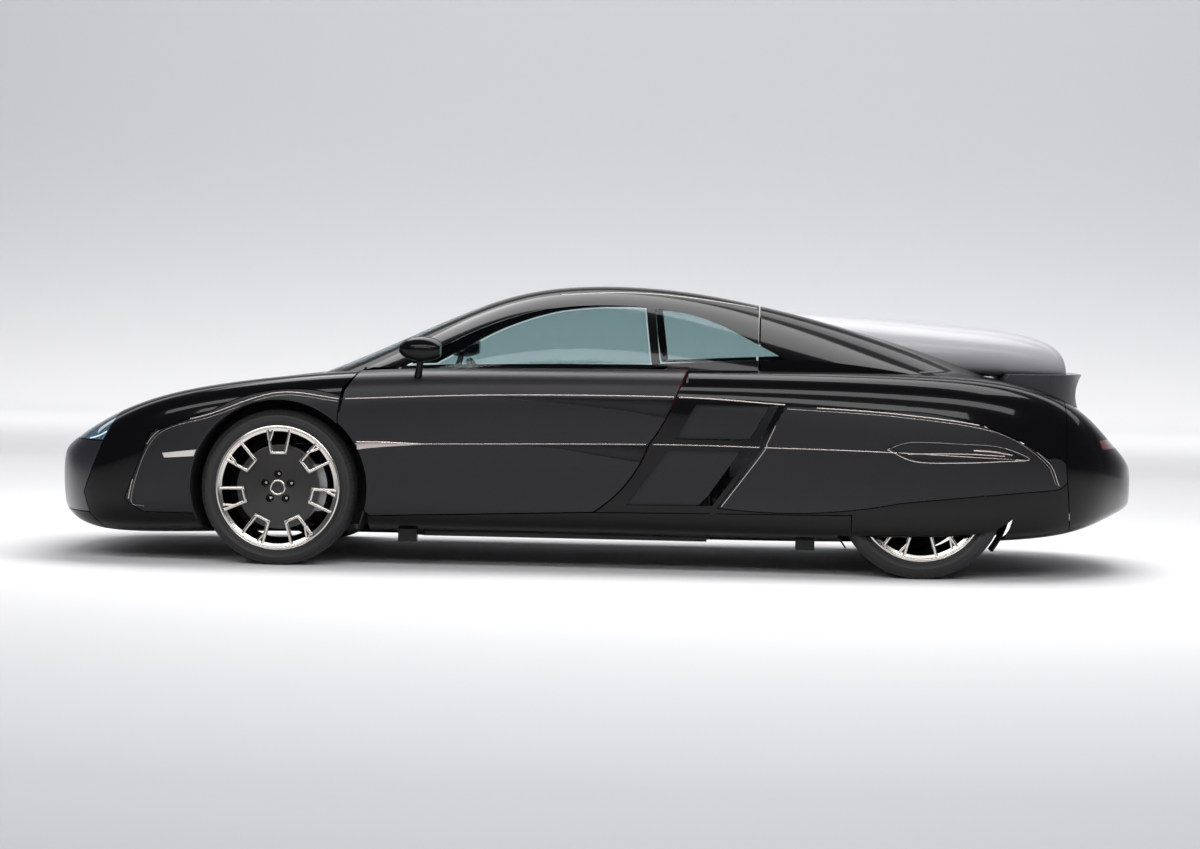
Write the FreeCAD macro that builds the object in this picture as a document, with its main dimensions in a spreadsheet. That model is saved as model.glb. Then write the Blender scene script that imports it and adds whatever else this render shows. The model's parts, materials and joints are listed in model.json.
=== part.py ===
import FreeCAD, Part
import math
import os
import re
import Sketcher
from FreeCAD import Placement, Rotation, Vector

# Driving sizes, in millimetres and degrees. The car faces -X, +Y is its right side, +Z is up.
SIZES = {
    # overall body
    "half_length": 2329,
    "half_width": 975,
    "waist_height": 834.4,
    "roof_height": 1192,
    "skin": 18,
    "roof_skin": 34,
    "shut_gap": 4,
    "door_gap": 6,
    "seat_gap": 0.3,
    "overrun": 60,
    "glass_thickness": 6,
    "spat_skin": 50,
    "lamp_inner": 520,
    "lamp_depth": 60,
    "liner_clearance": 8,
    "blade_inset": 14,
    "slot_depth": 12,
    "scoop_depth": 42,
    "tub_top": 700,
    "tub_nose_half_width": 440,
    "tub_taper": 300,
    "sill_box": 130,
    "tub_side_top": 360,
    "bulkhead_half_width": 560,
    "tunnel_half_width": 120,
    "tunnel_height": 170,
    "hoop_depth": 26,
    "hoop_width": 36,
    "beam_low": 300,
    "beam_height": 80,
    "beam_width": 60,
    "engine_front": 560,
    "engine_length": 620,
    "engine_half_width": 350,
    "engine_height": 330,
    "seat_back": 120,
    "seat_length": 520,
    "seat_top": 840,
    "seat_lean": 210,
    "seat_cushion": 140,
    "seat_heel": 40,
    "seat_crest": 120,
    "seat_waist": 90,
    "seat_rise": 30,
    "seat_out": 370,
    "seat_half_width": 235,
    "dash_low": 480,
    "dash_length": 330,
    "dash_half_width": 600,
    "dash_chin": 60,
    "dash_brow": 30,
    "dash_crest": 60,
    "dash_shelf": 198,
    "dash_drop": 5,
    "steering_boss_radius": 56,
    "steering_boss_depth": 48,
    "steering_tilt": 72,
    "column_reach": 120,
    "wheel_rise": -10,
    "steering_radius": 175,
    "steering_grip": 16,
    "spoiler_half_width": 640,
    "mirror_half_length": 98,
    "mirror_half_width": 62,
    "mirror_half_height": 52,
    "mirror_forward": 715,
    "mirror_proud": 10,
    "mirror_up": 912,
    "mirror_foot_forward": 30,
    "mirror_foot_inset": 95,
    "mirror_foot_up": 765,
    "mirror_stalk_radius": 11,
    "mirror_foot_radius": 17.6,
    "lining_low": 113,
    "lining_inset": 4,
    "side_lamp_proud": 3,
    "tail_lamp_in": 330,
    "tail_lamp_out": 690,
    "tail_lamp_low": 545,
    "tail_lamp_height": 38,
    # axles and wheels
    "front_axle": 1315,
    "wheelbase": 2670,
    "front_tyre_radius": 323.5,
    "front_tyre_width": 235,
    "front_rim_radius": 258.8,
    "front_wheel_inset": 163,
    "rear_tyre_radius": 345.5,
    "rear_tyre_width": 305,
    "rear_rim_radius": 271.5,
    "rear_wheel_inset": 217,
    "tyre_seat_gap": 0.3,
    "bead_depth": 15,
    "bead_inset": 27,
    "bulge_height": 40,
    "tread_in": 24,
    "lip_inset": 12,
    "bead_slope": 14,
    "rim_drop": 22,
    "face_in": 4,
    "face_dish": 12,
    "hub_disc_thickness": 14,
    "hub_radius": 70,
    "hub_face": 48,
    "spoke_foot": 34,
    "spoke_spread": 52,
    "spoke_root": 34,
    "rib_width": 12,
    "brake_out": 30,
    "brake_gap": 6,
    "post_thickness": 44,
    "post_half_height": 150,
    "post_half_width": 40,
    "spindle_reach": 30,
    "caliper_wall": 26,
    "caliper_arm": 40,
    "king_pin_radius": 11,
    "arm_thickness": 22,
    "arm_spread": 140,
    "arm_tip": 24,
    "beam_out": 400,
    "glass_gap": 6,
    "rim_wall": 9,
    "rim_lip": 7,
    "spoke_depth": 26,
    "spoke_count": 7,
    "hub_disc_radius": 172,
    "spindle_radius": 32,
    "spindle_play": 0.05,
    "brake_disc_radius": 176,
    "brake_disc_thickness": 32,
    "arch_radius": 372,
    "arch_lining": 5,
    "arch_depth": 400,
    "spat_clearance": 40,
    "jack_half_length": 40,
    "jack_width": 45,
    "jack_low": 104,
    "jack_high": 170,
    "jack_forward": 780,
    "jack_rearward": 880,
    "bolt_count": 5,
    "bolt_circle_radius": 56,
    "bolt_hole_radius": 7,
    "bolt_seat_radius": 17,
    "bolt_seat_thickness": 12,
    # door hinge
    "hinge_forward": 1135,
    "hinge_out": 902,
    "hinge_up": 722,
    "hinge_lean_aft": 12,
    "hinge_lean_in": 25,
    "hinge_lean_up": 96.1,
    "hinge_pin_radius": 6,
    "hinge_knuckle_radius": 11,
    "hinge_high": 8,
    "hinge_low": 32,
    "hinge_lug": 10,
    "hinge_gap": 5,
    "hinge_reach": 99,
    "hinge_arm": 14,
    "hinge_wrap": 80,
    "hinge_swing": 65,
    "relief_step": 11,
    "door_depth": 203,
    # tub
    "floor_low": 128,
    "floor_thickness": 28,
    "sill_top": 236,
    "tub_front": 1010,
    "tub_rear": 470,
    "tub_wall": 70,
    "bulkhead_thickness": 45,
    "rear_bulkhead_height": 800,
}

doc = FreeCAD.newDocument("supercar")
sheet = doc.addObject("Spreadsheet::Sheet", "Sizes")
for row, (alias, value) in enumerate(SIZES.items(), 1):
    sheet.set(f"A{row}", alias)
    sheet.set(f"B{row}", str(value))
    sheet.setAlias(f"B{row}", alias)
doc.recompute()


def size(text):
    """The value of a sum of named sizes."""
    return float(sheet.evalExpression(str(text)))


def bound(text):
    """The same sum, written for an object of the document."""
    return re.sub(r"[a-z][a-z_]+", lambda word: f"Sizes.{word[0]}" if word[0] in SIZES else word[0], str(text))


# Body lines, as shares of the half length, half width and roof height. Each row is one cross-section:
# its place, then half width and height for the keel edge, low side, mid side, shoulder, crest, deck and crown.
BODY_SHARES = [
    (-1.000, 0.16, 0.225, 0.18, 0.255, 0.190, 0.300, 0.180, 0.335, 0.170, 0.350, 0.12, 0.355, 0.06, 0.355),
    (-0.998, 0.40, 0.170, 0.44, 0.200, 0.460, 0.290, 0.450, 0.345, 0.400, 0.370, 0.28, 0.375, 0.14, 0.375),
    (-0.965, 0.58, 0.105, 0.70, 0.160, 0.750, 0.280, 0.730, 0.370, 0.640, 0.410, 0.46, 0.415, 0.22, 0.415),
    (-0.895, 0.76, 0.075, 0.87, 0.140, 0.910, 0.290, 0.895, 0.425, 0.830, 0.500, 0.58, 0.500, 0.28, 0.490),
    (-0.780, 0.83, 0.078, 0.935, 0.150, 0.960, 0.320, 0.970, 0.505, 0.920, 0.605, 0.64, 0.595, 0.30, 0.575),
    (-0.580, 0.86, 0.092, 0.95, 0.170, 0.965, 0.360, 0.985, 0.560, 0.940, 0.668, 0.70, 0.655, 0.32, 0.640),
    (-0.385, 0.86, 0.092, 0.94, 0.175, 0.945, 0.360, 0.985, 0.575, 0.940, 0.695, 0.74, 0.695, 0.33, 0.690),
    (-0.130, 0.86, 0.092, 0.93, 0.175, 0.925, 0.360, 0.985, 0.585, 0.940, 0.705, 0.75, 0.705, 0.33, 0.705),
    (0.130, 0.86, 0.092, 0.935, 0.175, 0.935, 0.360, 0.990, 0.590, 0.945, 0.710, 0.76, 0.710, 0.33, 0.710),
    (0.385, 0.92, 0.098, 0.990, 0.160, 1.000, 0.350, 1.000, 0.590, 0.955, 0.712, 0.77, 0.715, 0.33, 0.715),
    (0.580, 0.94, 0.105, 1.005, 0.160, 1.010, 0.350, 1.010, 0.580, 0.955, 0.708, 0.77, 0.714, 0.33, 0.714),
    (0.740, 0.90, 0.115, 0.975, 0.170, 0.995, 0.350, 0.985, 0.550, 0.930, 0.685, 0.75, 0.700, 0.33, 0.700),
    (0.865, 0.74, 0.135, 0.84, 0.210, 0.885, 0.335, 0.885, 0.460, 0.830, 0.600, 0.64, 0.625, 0.30, 0.625),
    (0.935, 0.50, 0.195, 0.60, 0.250, 0.665, 0.315, 0.660, 0.390, 0.600, 0.460, 0.42, 0.480, 0.20, 0.485),
    (0.980, 0.28, 0.230, 0.34, 0.260, 0.380, 0.305, 0.370, 0.350, 0.340, 0.390, 0.22, 0.400, 0.11, 0.400),
    (0.985, 0.12, 0.245, 0.14, 0.262, 0.150, 0.305, 0.140, 0.340, 0.130, 0.360, 0.09, 0.365, 0.04, 0.365),
]

# The cabin roof in the same form: foot, waist, glass, rail, roof edge, roof and crown.
CABIN_SHARES = [
    (-0.585, 0.60, 0.480, 0.78, 0.480, 0.800, 0.570, 0.780, 0.590, 0.62, 0.610, 0.40, 0.620, 0.20, 0.622),
    (-0.500, 0.60, 0.480, 0.80, 0.480, 0.820, 0.600, 0.800, 0.640, 0.62, 0.665, 0.40, 0.675, 0.20, 0.680),
    (-0.340, 0.60, 0.480, 0.82, 0.480, 0.830, 0.640, 0.790, 0.720, 0.60, 0.810, 0.38, 0.818, 0.20, 0.822),
    (-0.170, 0.60, 0.480, 0.82, 0.480, 0.830, 0.670, 0.740, 0.855, 0.58, 0.965, 0.36, 0.972, 0.18, 0.975),
    (-0.020, 0.60, 0.480, 0.82, 0.480, 0.830, 0.685, 0.730, 0.890, 0.57, 1.005, 0.36, 1.005, 0.18, 1.005),
    (0.150, 0.60, 0.480, 0.83, 0.480, 0.835, 0.690, 0.730, 0.875, 0.56, 0.993, 0.36, 0.993, 0.18, 0.993),
    (0.320, 0.60, 0.480, 0.84, 0.480, 0.850, 0.685, 0.740, 0.830, 0.54, 0.930, 0.36, 0.930, 0.18, 0.930),
    (0.500, 0.60, 0.480, 0.86, 0.480, 0.870, 0.680, 0.750, 0.770, 0.54, 0.840, 0.36, 0.840, 0.18, 0.840),
    (0.680, 0.60, 0.480, 0.86, 0.480, 0.870, 0.650, 0.740, 0.690, 0.54, 0.730, 0.36, 0.730, 0.18, 0.730),
    (0.800, 0.60, 0.480, 0.80, 0.480, 0.810, 0.580, 0.700, 0.610, 0.50, 0.620, 0.36, 0.620, 0.18, 0.620),
]


# The glazed dome over the rear deck, in the same form.
DOME_SHARES = [
    (0.300, 0.10, 0.700, 0.24, 0.700, 0.26, 0.760, 0.24, 0.850, 0.20, 0.910, 0.10, 0.915, 0.05, 0.915),
    (0.300, 0.20, 0.700, 0.36, 0.700, 0.40, 0.760, 0.38, 0.860, 0.30, 0.920, 0.18, 0.925, 0.09, 0.925),
    (0.470, 0.20, 0.700, 0.38, 0.700, 0.43, 0.760, 0.41, 0.850, 0.33, 0.905, 0.20, 0.910, 0.09, 0.910),
    (0.640, 0.20, 0.700, 0.38, 0.700, 0.43, 0.750, 0.41, 0.835, 0.33, 0.880, 0.20, 0.885, 0.09, 0.885),
    (0.790, 0.20, 0.700, 0.35, 0.700, 0.39, 0.740, 0.37, 0.820, 0.30, 0.860, 0.18, 0.865, 0.09, 0.865),
    (0.862, 0.20, 0.700, 0.30, 0.700, 0.33, 0.720, 0.31, 0.770, 0.26, 0.800, 0.15, 0.800, 0.08, 0.800),
    (0.862, 0.10, 0.700, 0.18, 0.700, 0.20, 0.705, 0.18, 0.715, 0.14, 0.720, 0.08, 0.722, 0.04, 0.722),
]

# Where the axles stand, as shares of the half length, and the waist as a share of the roof height.
AXLE_SHARES = (-0.5646, 0.5818)
WAIST_SHARE = 0.7


def along(share):
    """A place along the car, kept to the axles when the nose or the tail grows."""
    stations = [-1, *AXLE_SHARES, 1]
    places = [-size("half_length"), -size("front_axle"), size("wheelbase - front_axle"), size("half_length")]
    first = 0 if share < stations[1] else 1 if share < stations[2] else 2
    part = (share - stations[first]) / (stations[first + 1] - stations[first])
    return places[first] + part * (places[first + 1] - places[first])


def height(share):
    """A height on the car, kept to the waist when the roof grows."""
    waist = size("waist_height")
    if share < WAIST_SHARE:
        return share / WAIST_SHARE * waist
    return waist + (share - WAIST_SHARE) / (1 - WAIST_SHARE) * (size("roof_height") - waist)


def section_rows(shares, inset):
    """Poles of the right half of a body, drawn in by an inset."""
    long = (size("half_length") - inset) / size("half_length")
    rows = []
    for station, *pairs in shares:
        place = along(station) * long
        points = [Vector(place, out * size("half_width"), height(up)) for out, up in zip(pairs[::2], pairs[1::2])]
        keel = Vector(points[0].x, 0, points[0].z)
        crown = Vector(points[-1].x, 0, points[-1].z)
        points = [keel] + points + [crown]
        row = []
        for n, point in enumerate(points):
            before = points[max(n - 1, 0)]
            after = points[min(n + 1, len(points) - 1)]
            heading = (after - before).normalize()
            moved = point + Vector(0, -heading.z, heading.y) * inset
            row.append(Vector(moved.x, 0 if n in (0, len(points) - 1) else moved.y, moved.z))
        rows.append(row)
    return rows


def knots(count):
    """Evenly spaced knots of a cubic that reaches its end poles."""
    spans = count - 3
    return [n / spans for n in range(spans + 1)], [4] + [1] * (spans - 1) + [4]


def half_body(label, shares, inset):
    """The right half of a smooth body, closed along the centre plane and at both ends."""
    rows = section_rows(shares, inset)
    surface = Part.BSplineSurface()
    knots_u, mults_u = knots(len(rows))
    knots_v, mults_v = knots(len(rows[0]))
    surface.buildFromPolesMultsKnots(rows, mults_u, mults_v, knots_u, knots_v, False, False, 3, 3)
    skin = surface.toShape()
    keel, crown = surface.vIso(0).toShape(), surface.vIso(1).toShape()
    nose, tail = surface.uIso(0).toShape(), surface.uIso(1).toShape()
    nose_line = Part.makeLine(rows[0][0], rows[0][-1])
    tail_line = Part.makeLine(rows[-1][0], rows[-1][-1])
    caps = [Part.Face(Part.Wire(Part.__sortEdges__(edges))) for edges in
            ([keel, crown, nose_line, tail_line], [nose, nose_line], [tail, tail_line])]
    shell = Part.makeShell([skin] + caps)
    shell.sewShape()
    solid = Part.makeSolid(shell)
    if solid.Volume < 0:
        solid.reverse()
    body = doc.addObject("Part::Feature", label)
    body.Shape = solid
    return body


# Outlines seen from the side, as shares of the half length and the roof height.
BUMPER_SHARES = [(-1.05, 0.167), (-0.915, 0.167), (-0.925, 0.237), (-0.886, 0.419), (-1.05, 0.419)]
LIP_SHARES = [(-1.05, 0.04), (-0.890, 0.04), (-0.890, 0.110), (-0.916, 0.163), (-1.05, 0.163)]
HEADLAMP_SHARES = [(-0.975, 0.4235), (-0.886, 0.4235), (-0.845, 0.575), (-0.920, 0.575)]
BIB_SHARES = [(-0.842, 0.218), (-0.809, 0.177), (-0.600, 0.175), (-0.500, 0.300), (-0.455, 0.520),
              (-0.448, 0.592), ((-0.566, 0.612), (-0.682, 0.535)), (-0.793, 0.453)]
DOOR_SHARES = [(-0.401, 0.181), (-0.001, 0.210), ((0.060, 0.320), (0.096, 0.451)), ((0.125, 0.540), (0.143, 0.620)),
               (0.162, 0.715), (-0.420, 0.690), (-0.446, 0.615), (-0.457, 0.512), (-0.458, 0.300)]
SIDE_LAMP_SHARES = [(-0.772, 0.384), (-0.704, 0.400), (-0.710, 0.376), (-0.768, 0.368)]
SILL_SHARES = [(-0.403, 0.05), (0.457, 0.05), (0.457, 0.218), (0.001, 0.206), (-0.403, 0.177)]
POD_SHARES = [(0.339, 0.591), (0.302, 0.460), (0.296, 0.438), (0.223, 0.235), ((0.400, 0.228), (0.543, 0.267)),
              ((0.700, 0.300), (0.815, 0.320)), ((0.838, 0.345), (0.804, 0.426)), ((0.640, 0.560), (0.539, 0.581))]
POD_SLOT_SHARES = [(0.519, 0.461), (0.549, 0.476), (0.584, 0.481), (0.716, 0.471), (0.762, 0.428), (0.717, 0.419),
                   (0.585, 0.413), (0.550, 0.422)]
UPPER_BLADE_SHARES = [(0.179, 0.592), (0.144, 0.470), (0.274, 0.474), (0.310, 0.592)]
LOWER_BLADE_SHARES = [(0.131, 0.432), (0.058, 0.236), (0.186, 0.240), (0.205, 0.279), (0.259, 0.432)]
UPPER_INTAKE_SHARES = [(0.179, 0.592), (0.144, 0.470), (0.293, 0.470), (0.325, 0.592)]
LOWER_INTAKE_SHARES = [(0.131, 0.432), (0.058, 0.236), (0.211, 0.240), (0.282, 0.432)]
UPPER_SCOOP_SHARES = [(-0.205, 0.604), (0.200, 0.607), (0.200, 0.530), (0.126, 0.542), (0.044, 0.567),
                      (-0.062, 0.587)]
LOWER_SCOOP_SHARES = [(-0.150, 0.438), (0.160, 0.446), (0.160, 0.375), (0.070, 0.388), (0.011, 0.406),
                      (-0.061, 0.428)]
TAIL_SHARES = [(0.857, 0.05), (1.05, 0.05), (1.05, 0.90), (0.838, 0.90), (0.838, 0.40)]
DOOR_WINDOW_SHARES = [(-0.420, 0.300), (0.150, 0.300), (0.097, 0.733), (0.084, 0.925), ((0.000, 0.930), (-0.098, 0.912)),
                      ((-0.179, 0.867), (-0.265, 0.790)), (-0.350, 0.700)]
QUARTER_WINDOW_SHARES = [(0.112, 0.728), (0.101, 0.920), ((0.182, 0.894), (0.254, 0.834)), (0.336, 0.752)]

LAMP_SIDE_SHARES = [(-1.05, 0.4235), (-0.886, 0.4235), (-0.845, 0.575), (-0.800, 0.740), (-1.05, 0.740)]
WINDOW_PLANE_SHARE = 0.44
DOOR_PLANE_SHARE = 0.6

SPOILER_SHARES = [(0.735, 0.690), (0.742, 0.713), (0.891, 0.714), ((0.877, 0.680), (0.879, 0.595)), (0.800, 0.600)]

# Outlines seen from above, as shares of the half length and the half width.
BONNET_SHARES = [(-1.05, -0.2), (-1.05, 0.529), (-0.850, 0.529), (-0.820, 0.64), (-0.520, 0.700), (-0.470, 0.700),
                 (-0.510, 0.40), (-0.530, 0), (-0.530, -0.2)]
WINDSCREEN_SHARES = [(-0.600, -0.2), (-0.600, 0.640), (-0.430, 0.660), (-0.205, 0.510), ((-0.222, 0.260), (-0.228, 0)),
                     (-0.228, -0.2)]
DECK_SHARES = [(0.292, -0.2), (0.292, 0.790), (0.600, 0.790), ((0.740, 0.730), (0.838, 0.560)), (0.838, -0.2)]
SPOILER_PLAN_SHARES = [(0.70, -0.2), (0.70, 0.640), (0.810, 0.640), ((0.868, 0.400), (0.895, 0)), (0.895, -0.2)]
DOME_HOLE_SHARES = [(0.380, -0.2), (0.380, 0.24), ((0.600, 0.42), (0.800, 0.24)), (0.800, -0.2)]


def side_place(pair):
    """A point of an outline seen from the side."""
    return Vector(along(pair[0]), 0, height(pair[1]))


def top_place(pair):
    """A point of an outline seen from above."""
    return Vector(along(pair[0]), 0, pair[1] * size("half_width"))


def outline(shares, place):
    """A closed wire through shares; a pair of points stands for an arc and its end."""
    edges = []
    start = place(shares[0])
    for entry in shares[1:] + [shares[0]]:
        if isinstance(entry[0], tuple):
            middle, end = place(entry[0]), place(entry[1])
            edges.append(Part.Arc(start, middle, end).toShape())
        else:
            end = place(entry)
            edges.append(Part.makeLine(start, end))
        start = end
    return Part.Wire(edges)


def grown(wire, gap):
    """The same outline, a gap larger all round."""
    return wire.makeOffset2D(gap, 2) if gap else wire


def side_prism(shares, gap=0, inner=0):
    """Everything inside an outline seen from the side, from an inner plane outwards."""
    face = Part.Face(grown(outline(shares, side_place), gap))
    face.translate(Vector(0, inner, 0))
    return face.extrude(Vector(0, size("half_width + overrun") - inner, 0))


def top_prism(shares, gap=0):
    """Everything inside an outline seen from above."""
    face = Part.Face(grown(outline(shares, top_place), gap))
    face.rotate(Vector(), Vector(1, 0, 0), -90)
    return face.extrude(Vector(0, 0, size("roof_height + overrun")))


def axle_place(front):
    """Where a wheel stands: its place along the car and its height."""
    if front:
        return -size("front_axle"), size("front_tyre_radius")
    return size("wheelbase - front_axle"), size("rear_tyre_radius")


def arch(front, radius, inner, outer):
    """A round wheel opening of the right side."""
    along, up = axle_place(front)
    return Part.makeCylinder(radius, outer - inner, Vector(along, inner, up), Vector(0, 1, 0))


def feature(label, shape):
    """A finished free-form piece of the document."""
    piece = doc.addObject("Part::Feature", label)
    piece.Shape = shape
    return piece


def both_sides(shape):
    """A shape and its mirror image, as two solids that don't touch."""
    return Part.makeCompound(shape.Solids + shape.mirror(Vector(), Vector(0, 1, 0)).Solids)


def largest(shape):
    """The main solid of a cut shape, without its slivers."""
    return max(shape.Solids, key=lambda solid: solid.Volume)


def whole(shape):
    """A right half joined to its mirror image across the centre plane."""
    return shape.fuse(shape.mirror(Vector(), Vector(0, 1, 0)))



def block(low, high):
    """A box between two corners."""
    low, high = Vector(*low), Vector(*high)
    return Part.makeBox(high.x - low.x, high.y - low.y, high.z - low.z, low)


# Places along the car where panels and frames end, as shares of the half length.
FENDER_END_SHARE = -0.35
QUARTER_START_SHARE = -0.02
ROOF_START_SHARE = -0.565
ROOF_END_SHARE = 0.288
DECK_START_SHARE = 0.2905
TAIL_LAMP_SHARE = 0.86
NOSE_HOOP_SHARE = -0.863
SCUTTLE_HOOP_SHARE = -0.5
ROOF_HOOP_SHARE = 0.215
TAIL_HOOP_SHARE = 0.828

# The caliper's start, half height and arm as shares of the brake disc's radius, and the mirror's cut face
# as a share of its length.
CALIPER_START_SHARE = 0.62
CALIPER_HALF_SHARE = 0.55
CALIPER_ARM_SHARE = 0.7
MIRROR_FACE_SHARE = 0.78

# The outer forms and the surfaces that the pieces are cut from.
outer = half_body("Body_form", BODY_SHARES, 0).Shape
on_body = half_body("Body_seat", BODY_SHARES, -size("seat_gap")).Shape
inner = half_body("Body_inside", BODY_SHARES, size("skin")).Shape
cabin_outer = half_body("Cabin_form", CABIN_SHARES, 0).Shape
cabin_inner = half_body("Cabin_inside", CABIN_SHARES, size("roof_skin")).Shape
cabin_glass = half_body("Cabin_glass_inside", CABIN_SHARES, size("glass_thickness")).Shape
cabin_grown = half_body("Cabin_seat", CABIN_SHARES, -size("seat_gap")).Shape
gap = size("shut_gap")
door_gap = size("door_gap")
seat = size("seat_gap")
overlap = size("overrun / 2")
half_length = size("half_length")
side = size("half_width + overrun")
top = size("roof_height + overrun")
mid_side = size("half_width / 2")
door_inner = size("half_width - door_depth")
tub_side = size("half_width - door_depth - seat_gap")
start = -size("half_length + overrun")
finish = size("half_length + overrun")
roof_band = cabin_grown.cut(half_body("Cabin_band", CABIN_SHARES, size("roof_skin + seat_gap")).Shape)
roof_band = roof_band.common(block((start, -overlap, size("tub_top - seat_gap")), (finish, side, top)))
front_arch = arch(True, size("arch_radius"), size("half_width - arch_depth"), side)
arch_back = size("half_width - arch_depth")
rear_arch_radius = size("rear_tyre_radius + spat_clearance")
rear_arch = arch(False, rear_arch_radius, arch_back, size("half_width - spat_skin"))
skin = outer.cut(inner).cut(front_arch).cut(rear_arch)

door_grown = side_prism(DOOR_SHARES, door_gap, mid_side)
door_top_front, door_top_rear = DOOR_SHARES[5], DOOR_SHARES[4]
over_door = block((along(door_top_front[0]), -overlap, height(door_top_front[1]) - overlap),
                  (along(door_top_rear[0]) + door_gap, side, top))
sill_zone = side_prism(SILL_SHARES, 0, tub_side)
deck_zone = top_prism(DECK_SHARES)
floor_zone = block((start, -overlap, 0), (finish, tub_side, size("floor_low")))
above_nose = block((start, -overlap, height(BUMPER_SHARES[-1][1]) + gap), (0, side, top))
above_tub = block((start, -overlap, size("tub_top")), (finish, side, top))

# Skin panels of the nose: the centre panel and its lip, the bonnet, lamps, arch panels and fenders.
centre_panel = skin.common(side_prism(BUMPER_SHARES)).cut(floor_zone)
lip = skin.common(side_prism(LIP_SHARES)).cut(floor_zone)
feature("front_bumper", Part.makeCompound([largest(whole(centre_panel)), largest(whole(lip))]))
lamp_zone = side_prism(HEADLAMP_SHARES, 0, size("lamp_inner"))
lamp_grown = side_prism(HEADLAMP_SHARES, gap, size("lamp_inner - shut_gap"))
bonnet = skin.common(top_prism(BONNET_SHARES)).common(above_nose).cut(lamp_grown)
feature("bonnet", largest(whole(bonnet.cut(cabin_grown))))
lamp_inside = half_body("Lamp_inside", BODY_SHARES, size("lamp_depth")).Shape
lamp = outer.cut(lamp_inside).common(lamp_zone).cut(top_prism(BONNET_SHARES, gap))
feature("headlamps", both_sides(largest(lamp)))
bib = skin.common(side_prism(BIB_SHARES, 0, mid_side)).cut(door_grown)
bib = bib.cut(side_prism(SIDE_LAMP_SHARES, seat, mid_side))
proud = half_body("Lamp_face", BODY_SHARES, -size("side_lamp_proud")).Shape
side_lamp = proud.cut(inner).common(side_prism(SIDE_LAMP_SHARES, 0, mid_side)).cut(front_arch)
feature("side_lamps", both_sides(side_lamp))
fender = skin.common(block((start, 0, 0), (along(FENDER_END_SHARE), side, top)))
for zone in (cabin_grown, over_door, side_prism(BUMPER_SHARES, gap), side_prism(LIP_SHARES, gap),
             side_prism(LAMP_SIDE_SHARES, seat), side_prism(BIB_SHARES, gap, mid_side), door_grown,
             side_prism(SILL_SHARES, gap, mid_side), top_prism(BONNET_SHARES, gap), floor_zone,
             block((-size("front_axle"), -overlap, 0), (0, side, size("sill_top")))):
    fender = fender.cut(zone)


# The door hinge. A slanted pin stands in the scuttle hoop under the fender, and a curved arm on the door
# reaches inwards from it and round the fender's rear edge, so that the edge stays clear of the whole swing.
hinge_point = Vector(-size("hinge_forward"), size("hinge_out"), size("hinge_up"))
hinge_axis = Vector(size("hinge_lean_aft"), -size("hinge_lean_in"), size("hinge_lean_up")).normalize()
hinge_aft = (Vector(1, 0, 0) - hinge_axis * hinge_axis.x).normalize()
hinge_place = Placement(hinge_point, Rotation(hinge_aft, hinge_axis.cross(hinge_aft), hinge_axis, "ZXY"))
upright_axis = Vector(0, 0, 1)


def hinge_disc(radius, low, high, first=0, turn=360):
    """A disc or a slice of one about the hinge pin; angles run from aft towards outboard."""
    disc = Part.makeCylinder(radius, high - low, Vector(0, 0, low), upright_axis, turn)
    disc.rotate(Vector(), upright_axis, first)
    disc.Placement = hinge_place.multiply(disc.Placement)
    return disc


def hinge_leg(half_width, reach, low, high):
    """The straight start of the arm, from the pin inwards."""
    leg = block((-half_width, -reach, low), (half_width, 0, high))
    leg.Placement = hinge_place.multiply(leg.Placement)
    return leg


arm_low, arm_high = -size("hinge_low"), -size("hinge_high")
arm_reach = size("hinge_reach + hinge_arm")
arm_start = -size("hinge_wrap") - size("hinge_lug")
pin_bore = hinge_disc(size("hinge_pin_radius + spindle_play"), arm_low, arm_high)
hinge_arm = hinge_disc(arm_reach, arm_low, arm_high, arm_start, size("hinge_wrap")).cut(
    hinge_disc(size("hinge_reach"), arm_low, arm_high))
hinge_arm = hinge_arm.fuse([hinge_leg(size("hinge_arm / 2"), arm_reach, arm_low, arm_high),
                            hinge_disc(size("hinge_knuckle_radius"), arm_low, arm_high)]).cut(pin_bore)
clear_low, clear_high = arm_low - size("hinge_gap"), arm_high + size("hinge_gap")
clear_reach = arm_reach + size("hinge_gap")
clear_turn = size("hinge_wrap + hinge_swing + hinge_gap")
hinge_sweep = hinge_disc(clear_reach, clear_low, clear_high, arm_start, clear_turn)
hinge_sweep = hinge_sweep.fuse([hinge_leg(size("hinge_arm / 2 + hinge_gap"), clear_reach, clear_low, clear_high),
                                hinge_disc(size("hinge_knuckle_radius + hinge_gap"), clear_low, clear_high)])
lug_low, lug_high = clear_low - size("hinge_lug"), clear_high + size("hinge_lug")
hinge_lugs = hinge_disc(size("hinge_knuckle_radius"), lug_low, lug_high)
hinge_pin = hinge_disc(size("hinge_pin_radius"), lug_low, lug_high)


def skin_out(place, up):
    """How far out the body's skin stands at a place."""
    return Part.makeLine(Vector(place, 0, up), Vector(place, side, up)).common(outer).BoundBox.YMax


def scoop(shares):
    """A recess in the door that starts at its front point and deepens to its open rear end."""
    front, rear = side_place(shares[0]), side_place(shares[1])
    deep = skin_out(rear.x, side_place(shares[-3]).z) - size("scoop_depth")
    plan = [Vector(front.x, skin_out(front.x, front.z), 0), Vector(rear.x, deep, 0), Vector(rear.x, side, 0),
            Vector(front.x, side, 0)]
    wedge = Part.Face(Part.makePolygon(plan + plan[:1])).extrude(Vector(0, 0, top))
    return side_prism(shares, 0, door_inner).common(wedge)


# Doors, each as thick as the whole side, and the sills with their jack pads.
door = outer.cut(front_arch).common(side_prism(DOOR_SHARES, 0, door_inner))
door = largest(door.cut([scoop(UPPER_SCOOP_SHARES), scoop(LOWER_SCOOP_SHARES)]).cut(cabin_grown))
door = door.fuse(hinge_arm)
feature("door_right", door)
feature("door_left", door.mirror(Vector(), Vector(0, 1, 0)))

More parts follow.
